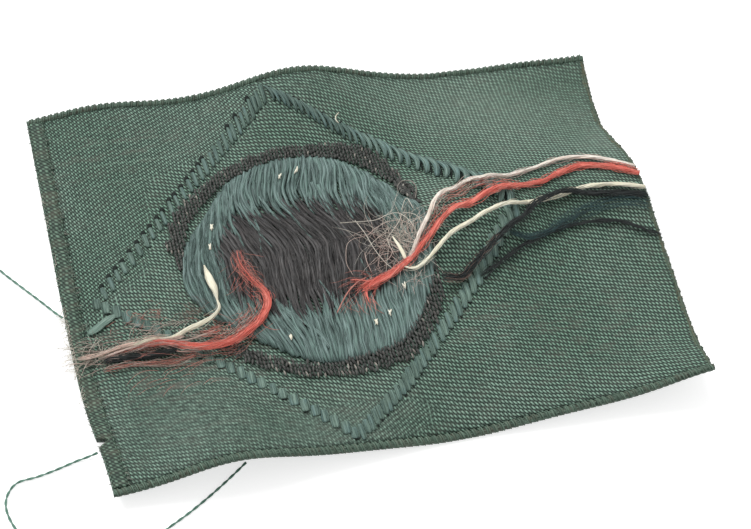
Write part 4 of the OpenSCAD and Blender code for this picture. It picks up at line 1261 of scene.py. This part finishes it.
# Each tail: its yarn, what it lies on at each place of its route, its shape, its route of places
# [along, across], and the fine filaments beside it: yarn, how many, first and last share of its length,
# least and greatest distance to its right, length and thickness
tails = {
    "rightWhiteTailUpper": {
        "yarn": "softWhite", "seed": 61, "on": "ffffffcfffcccccccc",
        "shape": {"width": 0.44, "pitch": 8.0, "loose": 0.05, "fray": (0.1, 0.05),
                  "narrow": (0.8, 1.2, 0.9, 0.9, 0.9, 0.9)},
        "route": [(3.4, -3.3), (4.1, -2.4), (4.9, -1.1), (6.0, 0.2), (6.9, 1.5), (8.0, 2.4), (9.2, 2.9),
                  (10.6, 3.3), (11.9, 3.5), (13.2, 3.8), (14.6, 4.2), (16.4, 4.7), (18.2, 5.2), (20.2, 5.8),
                  (22.4, 5.8), (24.4, 5.1), (26.0, 4.1), (27.4, 3.2)],
        "fuzz": [("pinkHair", 36, 0.0, 1.0, -0.25, 0.4, 4.0, 0.04),
                 ("fadedRed", 40, 0.05, 0.5, 0.2, 1.2, 2.0, 0.034),
                 ("brownHair", 30, 0.05, 0.5, 0.2, 1.2, 2.0, 0.034),
                 ("pinkHair", 40, 0.05, 0.5, 0.2, 1.1, 2.0, 0.034),
                 ("red", 16, 0.05, 0.5, 0.3, 1.1, 2.0, 0.034)]},
    "rightWhiteTailLower": {
        "yarn": "cream", "seed": 62, "on": "fffffcffccccccc",
        "shape": {"width": 0.46, "pitch": 9.0, "loose": 0.05, "fray": (0.0, 0.05),
                  "narrow": (0.5, 1, 1, 1, 1, 0.9)},
        "route": [(2.8, -3.9), (3.5, -4.3), (4.4, -4.1), (5.8, -3.2), (7.6, -2.0), (9.6, -1.1), (11.4, -0.6),
                  (13.5, 0.1), (15.6, 0.6), (17.6, 0.9), (19.4, 1.2), (21.0, 1.6), (22.8, 1.7), (25.0, 1.3),
                  (27.5, 0.6)],
        "fuzz": [("cream", 36, 0.0, 1.0, -0.3, 0.3, 3.0, 0.036)]},
    "rightBlackTailUpper": {
        "yarn": "tailBlack", "seed": 63, "on": "ffcffffcyyycccc",
        "shape": {"width": 0.54, "height": 0.3, "count": 18, "thread": 0.08, "pitch": 14.0, "loose": 0.16,
                  "fray": (0.3, 0.25), "core": 0.35, "narrow": (1.3, 1.2, 0.9, 1, 1, 1)},
        "route": [(5.9, -5.5), (6.8, -5.9), (7.9, -5.7), (9.1, -5.0), (10.2, -4.2), (11.6, -3.2),
                  (13.3, -2.0), (15.0, -0.8), (16.3, 0.1), (18.1, 0.9), (20.0, 1.2), (21.8, 1.0),
                  (23.3, 0.7), (25.2, 0.3), (27.5, -0.3)],
        "fuzz": [("tailBlack", 80, 0.0, 1.0, -0.5, 0.5, 3.4, 0.036),
                 ("brownHair", 30, 0.0, 0.3, -0.4, 0.5, 2.6, 0.036)]},
    "rightGreenTail": {
        "yarn": "darkGreen", "seed": 64, "on": "ccccccccc",
        "shape": {"width": 1.0, "height": 0.18, "count": 9, "thread": 0.06, "loose": 0.25,
                  "fray": (0.2, 0.4), "core": 0, "narrow": (0.3, 0.5, 0.7, 1, 1.3, 1.4)},
        "route": [(13.2, -2.3), (14.9, -2.9), (16.8, -2.5), (18.5, -1.8), (20.6, -0.9), (22.9, -0.5),
                  (24.8, -0.5), (26.2, -0.8), (27.5, -1.2)],
        "fuzz": [("darkGreen", 26, 0.0, 0.4, -0.3, 0.4, 3.5, 0.04),
                 ("darkGreen", 36, 0.35, 1.0, -0.9, 0.9, 4.5, 0.036),
                 ("tailBlack", 16, 0.0, 1.0, -0.7, 0.5, 4.5, 0.036)]},
    "rightBlackTailLower": {
        "yarn": "tailBlack", "seed": 65, "on": "ccccccccc",
        "shape": {"width": 0.44, "height": 0.24, "count": 11, "thread": 0.075, "pitch": 12.0, "loose": 0.16,
                  "fray": (0.4, 0.15), "core": 0, "narrow": (1, 1, 1, 1, 0.8, 0.7)},
        "route": [(9.6, -6.1), (10.9, -5.3), (12.7, -4.4), (15.1, -3.3), (18.1, -2.3), (20.6, -2.0),
                  (22.8, -2.2), (24.8, -2.9), (27.5, -4.6)],
        "fuzz": [("tailBlack", 50, 0.0, 1.0, -0.5, 0.5, 3.6, 0.036)]},
    "leftWhiteTail": {
        "yarn": "cream", "seed": 66, "on": "ffffffffcfcc",
        "shape": {"width": 0.44, "pitch": 11.0, "fray": (0.0, 0.3),
                  "narrow": (0.3, 1.9, 2.0, 0.4, 0.8, 1.1, 1.3, 1.2, 1.1, 1, 0.8, 0.7, 0.5, 0.4),
                  "thin": (0.6, 1.1, 1.1, 0.6, 1, 1, 1, 1, 1, 0.9, 0.8, 0.7, 0.6, 0.5)},
        "route": [(-14.8, 0.1), (-14.6, -1.6), (-14.4, -2.7), (-14.4, -3.8), (-14.4, -4.7), (-15.0, -5.4),
                  (-16.0, -5.9), (-17.4, -6.3), (-19.2, -6.6), (-21.0, -6.6), (-23.0, -6.4), (-25.6, -6.4)],
        "fuzz": [("cream", 16, 0.3, 0.9, -0.4, 0.4, 3.0, 0.036),
                 ("pinkHair", 36, 0.6, 1.0, -0.6, 0.6, 3.6, 0.036)]},
    "leftRedTail": {
        "yarn": "red", "seed": 67, "on": "fffffffffffffcc",
        "shape": {"width": 0.62, "count": 22, "pitch": 16.0, "loose": 0.12, "fray": (0.3, 0.3), "core": 0.6,
                  "narrow": (1.8, 1.6, 1.3, 1.2, 1.5, 1.5, 1.4, 1.4, 1.3, 1.2, 1, 0.6, 0.5),
                  "thin": (0.12, 0.15, 0.25, 0.9, 1, 1, 1, 1, 0.9, 0.7, 0.5, 0.4, 0.35)},
        "route": [(-11.6, 1.0), (-11.6, -0.4), (-11.0, -2.1), (-10.3, -3.6), (-10.0, -4.8), (-10.4, -5.9),
                  (-11.4, -7.0), (-13.0, -8.0), (-14.4, -8.5), (-16.0, -8.5), (-17.6, -8.1), (-19.1, -7.5),
                  (-20.6, -7.0), (-22.6, -6.6), (-24.9, -6.6)],
        "fuzz": [("red", 30, 0.2, 0.7, -0.5, 0.5, 3.0, 0.036), ("red", 40, 0.3, 0.6, 0.0, 1.5, 2.0, 0.034),
                 ("fadedRed", 40, 0.3, 0.6, 0.0, 1.8, 2.0, 0.034),
                 ("pinkHair", 30, 0.35, 0.7, 0.2, 1.6, 2.4, 0.034),
                 ("fadedRed", 24, 0.4, 0.9, -1.3, 0.0, 2.6, 0.034),
                 ("pinkHair", 36, 0.6, 1.0, -0.4, 0.5, 4.0, 0.036),
                 ("fadedRed", 30, 0.0, 0.3, -0.9, 0.9, 2.2, 0.036),
                 ("brownHair", 30, 0.0, 0.25, -1.1, 0.5, 1.6, 0.036),
                 ("red", 12, 0.0, 0.3, -0.5, 0.5, 2.2, 0.03)]},
    "leftRedFrayedStrand": {
        "yarn": "fadedRed", "seed": 68, "on": "fcccc",
        "shape": {"width": 0.3, "count": 6, "thread": 0.05, "loose": 0.14, "fray": (0.5, 0.3), "core": 0,
                  "narrow": (0.3, 0.8, 1, 0.8, 0.5)},
        "route": [(-17.4, -9.2), (-19.3, -9.1), (-21.3, -8.7), (-23.3, -8.2), (-25.4, -7.9)],
        "fuzz": [("fadedRed", 12, 0.0, 1.0, -0.3, 0.4, 4.0, 0.03),
                 ("pinkHair", 16, 0.0, 1.0, -0.3, 0.3, 4.0, 0.03)]},
    "leftBlackTail": {
        "yarn": "tailBlack", "seed": 69, "on": "fccc",
        "shape": {"width": 0.55, "loose": 0.14, "fray": (0.2, 0.3), "narrow": (0.4, 1.1, 1.1, 0.6)},
        "route": [(-18.9, -8.2), (-21.0, -7.9), (-23.1, -7.4), (-25.2, -6.9)],
        "fuzz": [("tailBlack", 30, 0.0, 1.0, -0.5, 0.5, 3.0, 0.036),
                 ("pinkHair", 10, 0.0, 1.0, -0.6, 0.6, 4.0, 0.03)]},
}
usualTail = {"count": 16, "height": 0.4, "thread": 0.1, "core": 0.75, "thin": (1, 1)}


def fibres(line, chance, count, first, last, low, high, length, thick):
    # Fine filaments beside a line, over part of it, between two distances to the right of it in mm
    side, over = lineAxes(line)
    far = distanceAlong(line)
    made = []
    for _ in range(count):
        long = length * chance.uniform(0.5, 1.3)
        start = chance.uniform(first * far[-1] - long / 2, last * far[-1] - long / 2)
        part = (far >= max(start, 0)) & (far <= start + long)
        if part.sum() < 5:
            continue
        sideways = chance.uniform(low, high) + drift(far[part], chance, 4.5, 0.22)
        rise = chance.uniform(-0.1, 0.2) + drift(far[part], chance, 3.0, 0.08)
        path = line[part] + (side[part] * sideways[:, None] + over[part] * rise[:, None]) * mm
        made.append(strand(path, thick * taper(part.sum(), 0.2, 0.2), None, chance.uniform(0.2, 1), 3))
    return made


def makeTail(name, loose):
    facts = tails[name]
    chance = np.random.default_rng(facts["seed"])
    line = laidLine(facts["route"], 0.25, facts["on"])
    shape = usualTail | facts["shape"]
    t = np.linspace(0, 1, len(line))
    for part in ("narrow", "thin"):
        shape[part] = np.interp(t, np.linspace(0, 1, len(shape[part])), shape[part])
    addStrands(name, bundle(line, chance, **shape), facts["yarn"])
    for yarn, *spread in facts["fuzz"]:
        loose.setdefault(yarn, []).extend(fibres(line, chance, *spread))


# Loose hairs and fuzz

hairs = {
    "seed": 71,
    # Long hairs of the right tangle: yarn, thickness, places [along, across]
    "drawn": [
        ("paleHair", 0.065, [(-1.7, 2.2), (-0.3, 1.9), (1.4, 1.5), (2.7, 1.7), (3.6, 1.5), (4.3, 0.5),
                             (4.7, -0.7)]),
        ("pinkHair", 0.045, [(0.8, 0.3), (0.0, 0.1), (-1.0, 0.0), (-1.7, -0.5), (-2.1, -1.7), (-2.2, -2.6),
                            (-1.9, -3.7)]),
        ("paleHair", 0.065, [(-0.3, 2.2), (0.2, 0.3), (0.6, -1.6), (1.2, -3.1), (1.8, -3.8)]),
        ("pinkHair", 0.06, [(0.4, 0.2), (1.4, 0.7), (2.5, 0.9), (3.6, 0.7), (4.3, 0.1)]),
        ("pinkHair", 0.06, [(-0.3, -1.6), (-0.4, -2.7), (-0.2, -3.7)]),
        ("pinkHair", 0.05, [(1.0, -1.2), (1.8, -1.5), (2.1, -2.2), (1.5, -2.9), (0.8, -2.8)]),
        ("paleHair", 0.065, [(4.0, 1.6), (4.8, 0.9), (5.2, 0.2), (5.2, -0.7)]),
        ("paleHair", 0.065, [(4.0, 1.9), (4.7, 2.9), (5.0, 1.7)]),
        ("paleHair", 0.065, [(2.2, -2.4), (2.0, -0.9), (2.6, -0.2), (3.4, 0.6), (3.9, 1.5)]),
    ],
    # Short yarn ends: yarn, width, places [along, across]
    "ends": [
        ("cream", 0.42, [(2.5, -0.6), (2.8, -1.7), (3.0, -2.6), (3.1, -3.3)]),
        ("cream", 0.1, [(1.2, 14.6), (0.8, 14.2), (0.7, 13.8), (0.9, 13.4)]),
        ("red", 0.2, [(-1.2, -6.9), (-1.2, -6.0), (-1.0, -5.2)]),
        ("red", 0.2, [(-2.3, -4.2), (-1.4, -4.4), (-0.4, -4.8), (0.6, -4.8)]),
        ("red", 0.18, [(-1.6, -5.6), (-0.8, -5.4), (0.4, -5.0)]),
        ("fadedRed", 0.12, [(-4.3, -7.4), (-3.6, -6.4), (-2.8, -5.4), (-1.8, -4.6), (-0.8, -4.2)])],
    # Loose clouds: yarn, how many, middle [along, across], spread, length, heading, spread of headings, curl
    "clouds": [
        ("paleHair", 36, (2.6, -0.6), (1.7, 1.5), 5.0, 200, 180, 0.13),
        ("pinkHair", 36, (2.2, -1.6), (1.8, 1.8), 3.8, 0, 180, 0.2),
        ("brownHair", 12, (1.6, -2.2), (2.0, 1.6), 2.6, 0, 180, 0.22),
        ("paleHair", 30, (4.2, -1.4), (0.8, 2.0), 2.8, 110, 50, 0.1),
        ("pinkHair", 40, (3.6, -1.6), (1.0, 2.2), 2.8, 100, 60, 0.12),
        ("fadedRed", 30, (-0.8, -4.2), (1.4, 1.0), 2.0, 200, 60, 0.15),
        ("red", 22, (-0.6, -4.9), (1.0, 0.6), 1.8, 210, 50, 0.12),
        ("red", 12, (-1.1, -6.2), (0.4, 0.8), 1.8, 265, 25, 0.1),
        ("fadedRed", 16, (-2.4, -6.2), (0.8, 1.4), 2.0, 230, 50, 0.15),
        ("pinkHair", 16, (3.0, -5.4), (1.2, 0.7), 1.6, 0, 180, 0.3),
    ],
}


def makeHairs():
    chance = np.random.default_rng(hairs["seed"])
    made = {}
    for yarn, thick, route in hairs["drawn"]:
        line = laidLine(route, 0.2, 0.75 + 0.25 * np.sin(np.linspace(0, math.pi, len(route))))
        made.setdefault(yarn, []).append(strand(line, thick, None, chance.uniform(0.5, 1), 4))
    for yarn, width, route in hairs["ends"]:
        line = laidLine(route, 0.2, 0.85)
        made.setdefault(yarn, []).extend(
            bundle(line, chance, 7, width, width * 0.7, 0.07, 0, 0.03, core=0.8,
                   narrow=taper(len(line), 0.7, 0.15, 0.15)))
    scatter(made, chance, hairs["clouds"], 0.6, 0.25, 0.62, 0.62)
    addLoose("rightTangle", made)


fuzz = {
    "seed": 81,
    # Short curls on the cloth: yarn, how many, middle, spread, length, heading, its spread, curl
    "curls": [
        ("brownHair", 30, (-16.4, -4.4), (1.6, 0.9), 1.8, 190, 60, 0.3),
        ("fadedRed", 30, (-14.6, -6.6), (2.6, 1.4), 2.2, 200, 50, 0.2),
        ("red", 26, (-12.8, -7.0), (2.4, 1.2), 2.0, 215, 40, 0.2),
        ("pinkHair", 30, (-19, -4.9), (5.0, 0.9), 2.6, 185, 30, 0.12),
        ("fadedRed", 26, (-11.6, -1.4), (1.2, 3.0), 2.2, 280, 50, 0.25),
        ("red", 20, (-11.2, -2.2), (1.0, 2.6), 2.0, 285, 40, 0.22),
        ("brownHair", 24, (-24.6, -5.6), (2.0, 1.2), 2.4, 185, 40, 0.15),
        ("paleHair", 24, (-25.4, -4.8), (1.6, 1.4), 2.2, 180, 60, 0.2),
        ("fadedRed", 18, (-17.0, -9.5), (5.0, 0.6), 3.0, 190, 20, 0.08),
        ("pinkHair", 30, (-24.6, -6.4), (2.4, 1.4), 3.4, 178, 20, 0.1),
        ("fadedRed", 9, (-19.5, -11.2), (3.4, 0.6), 2.4, 198, 12, 0.05),
        ("fadedRed", 26, (-21.0, -3.5), (3.4, 0.8), 1.2, 200, 60, 0.3),
    ],
    # Pinkish strands that gather the tails towards the left end: yarn, width, places [along, across]
    "gathered": [
        ("pinkCream", 0.36, [(-18.0, -6.8), (-19.6, -6.8), (-21.4, -6.5), (-23.4, -6.3), (-25.4, -6.3),
                             (-27.4, -6.2)]),
        ("pinkHair", 0.1, [(-20.9, -6.8), (-19.9, -7.4), (-18.9, -8.2), (-17.9, -8.5), (-16.6, -8.5)]),
        ("pinkHair", 0.12, [(-15.2, -7.0), (-17.4, -7.2), (-19.6, -7.1), (-22.0, -6.7), (-25.0, -6.7)])],
    # Hairs that stand out past the left edge: their headings, and how many, middle, spread, length
    "outward": (120, 250),
    "edge": [(60, -5.6, 1.6, 1.8), (30, -2.6, 1.6, 1.4), (20, -9.5, 2.5, 0.9), (30, 6, 8.0, 0.6)],
}


def makeFuzz(made):
    chance = np.random.default_rng(fuzz["seed"])
    scatter(made, chance, fuzz["curls"], 0.5, 0.3, 0.25, 0.6)
    for yarn, width, route in fuzz["gathered"]:
        line = laidLine(route, 0.3, lambda u, v: np.where(onDisc(u, v, 1.5), 0.95, 0.6))
        made.setdefault(yarn, []).extend(
            bundle(line, chance, 9, width, width * 0.8, 0.07, 12.0, 0.06, (0.4, 0.5), 0.4,
                   narrow=taper(len(line), 0.2, 0.2, 0.3)))
    addLoose("fuzz", made)
    edge = []
    for count, middle, spread, length in fuzz["edge"]:
        for _ in range(count):
            v = middle + chance.normal(0, spread / 1.5)
            heading, long = chance.uniform(*fuzz["outward"]), length * chance.uniform(0.5, 1.5)
            thick = chance.uniform(0.02, 0.035)
            edge.append(hair((-halfLength + 0.3, v), heading, long, chance, 0.16, thick, 0.1, 0.3,
                             chance.uniform(*curls["shade"]), 0.25))
    addStrands("leftEdgeFuzz", edge, "paleHair", False, "cut_ends")


# The face side, underneath

face = {"low": -0.3, "high": -0.1, "sides": 96, "white": 9.0, "red": 5.0, "border": 1.2, "shade": 0.6}


def facePiece(name, yarn, outlines):
    # A woven band under the cloth between closed outlines of places, from the inner to the outer one
    count, steps = len(outlines[0]), len(outlines)
    points, grain, faces = [], [], []
    for lift in (face["low"], face["high"]):
        for line in outlines:
            points.append(clothPoints(line[:, 0], line[:, 1], lift))
            grain.append(np.stack([line[:, 0] * 1.5, line[:, 0] * 0 + lift, line[:, 1] * 0.7], 1))
    bands = [(row, row + 1) for row in range(steps - 1)]
    bands += [(steps + outer, steps + inner) for inner, outer in bands]
    bands += [(steps, 0), (steps - 1, 2 * steps - 1)]
    for i in range(count):
        k = (i + 1) % count
        faces += [[a * count + i, b * count + i, b * count + k, a * count + k] for a, b in bands]
    piece = meshPiece(name, yarn, points, faces, grain, [[face["shade"]] * (2 * steps * count)])
    bpy.ops.object.select_all(action="DESELECT")
    bpy.context.view_layer.objects.active = piece
    piece.select_set(True)
    bpy.ops.object.mode_set(mode="EDIT")
    bpy.ops.mesh.select_all(action="SELECT")
    bpy.ops.mesh.normals_make_consistent(inside=False)
    bpy.ops.object.mode_set(mode="OBJECT")
    place(piece, yarnLooks[yarn][1])


def makeFaceSide():
    turn = 2 * math.pi * np.arange(face["sides"]) / face["sides"]
    circle = np.stack([np.cos(turn), np.sin(turn)], 1)
    corners = np.array([(1, 0), (0, 1), (-1, 0), (0, -1)])
    t = np.linspace(0, 1, 30, endpoint=False)[:, None]
    square = np.vstack([a + (b - a) * t for a, b in zip(corners, np.roll(corners, -1, axis=0))])
    gap = cloth["edge"]
    outer = badge["tip"] - cloth["seat"]
    for name, yarn, outline, first, last, steps in (
            ("faceBlackRing", "faceBlack", circle, face["white"] + gap, badge["ring"], 6),
            ("faceWhiteRing", "faceWhite", circle, face["red"] + gap, face["white"] - gap, 6),
            ("faceRedCentre", "faceRed", circle, 0.02, face["red"] - gap, 8),
            ("faceDiamondBorder", "border", square, outer - face["border"], outer, 3)):
        facePiece(name, yarn, [np.array([badge["centre"], 0]) + outline * reach
                               for reach in np.linspace(first, last, steps)])


ground = makeGroundCloth()
makeSelvedge("upperSelvedge", 1)
makeSelvedge("lowerSelvedge", -1)
makeTurnedEnd()
makeCutEdge()
print("ribbon is made")
# Dark discs and lines of painted shade in the diamond's holes and gaps
pits = []
for name in diamond["sides"]:
    makeDiamondSide(name, pits)
addStrands("diamondStitchPits", pits, "pit", False)
makePaleStrip()
for name in ring["arcs"]:
    makeRingArc(name)
makeFrayedEnd()
print("diamond and ring are made")
makeDisc()
makeLooseFilaments()
makeTies()
print("disc is made")
loose = {}
for name in tails:
    makeTail(name, loose)
line = laidLine(redTail["route"], 0.25, redTail["on"])
loose["red"] += fibres(line, np.random.default_rng(redTail["seed"] + 1), *redTail["fuzz"])
makeHairs()
makeFuzz(loose)
print("tails and hairs are made")
makeFaceSide()
print("face side is made")
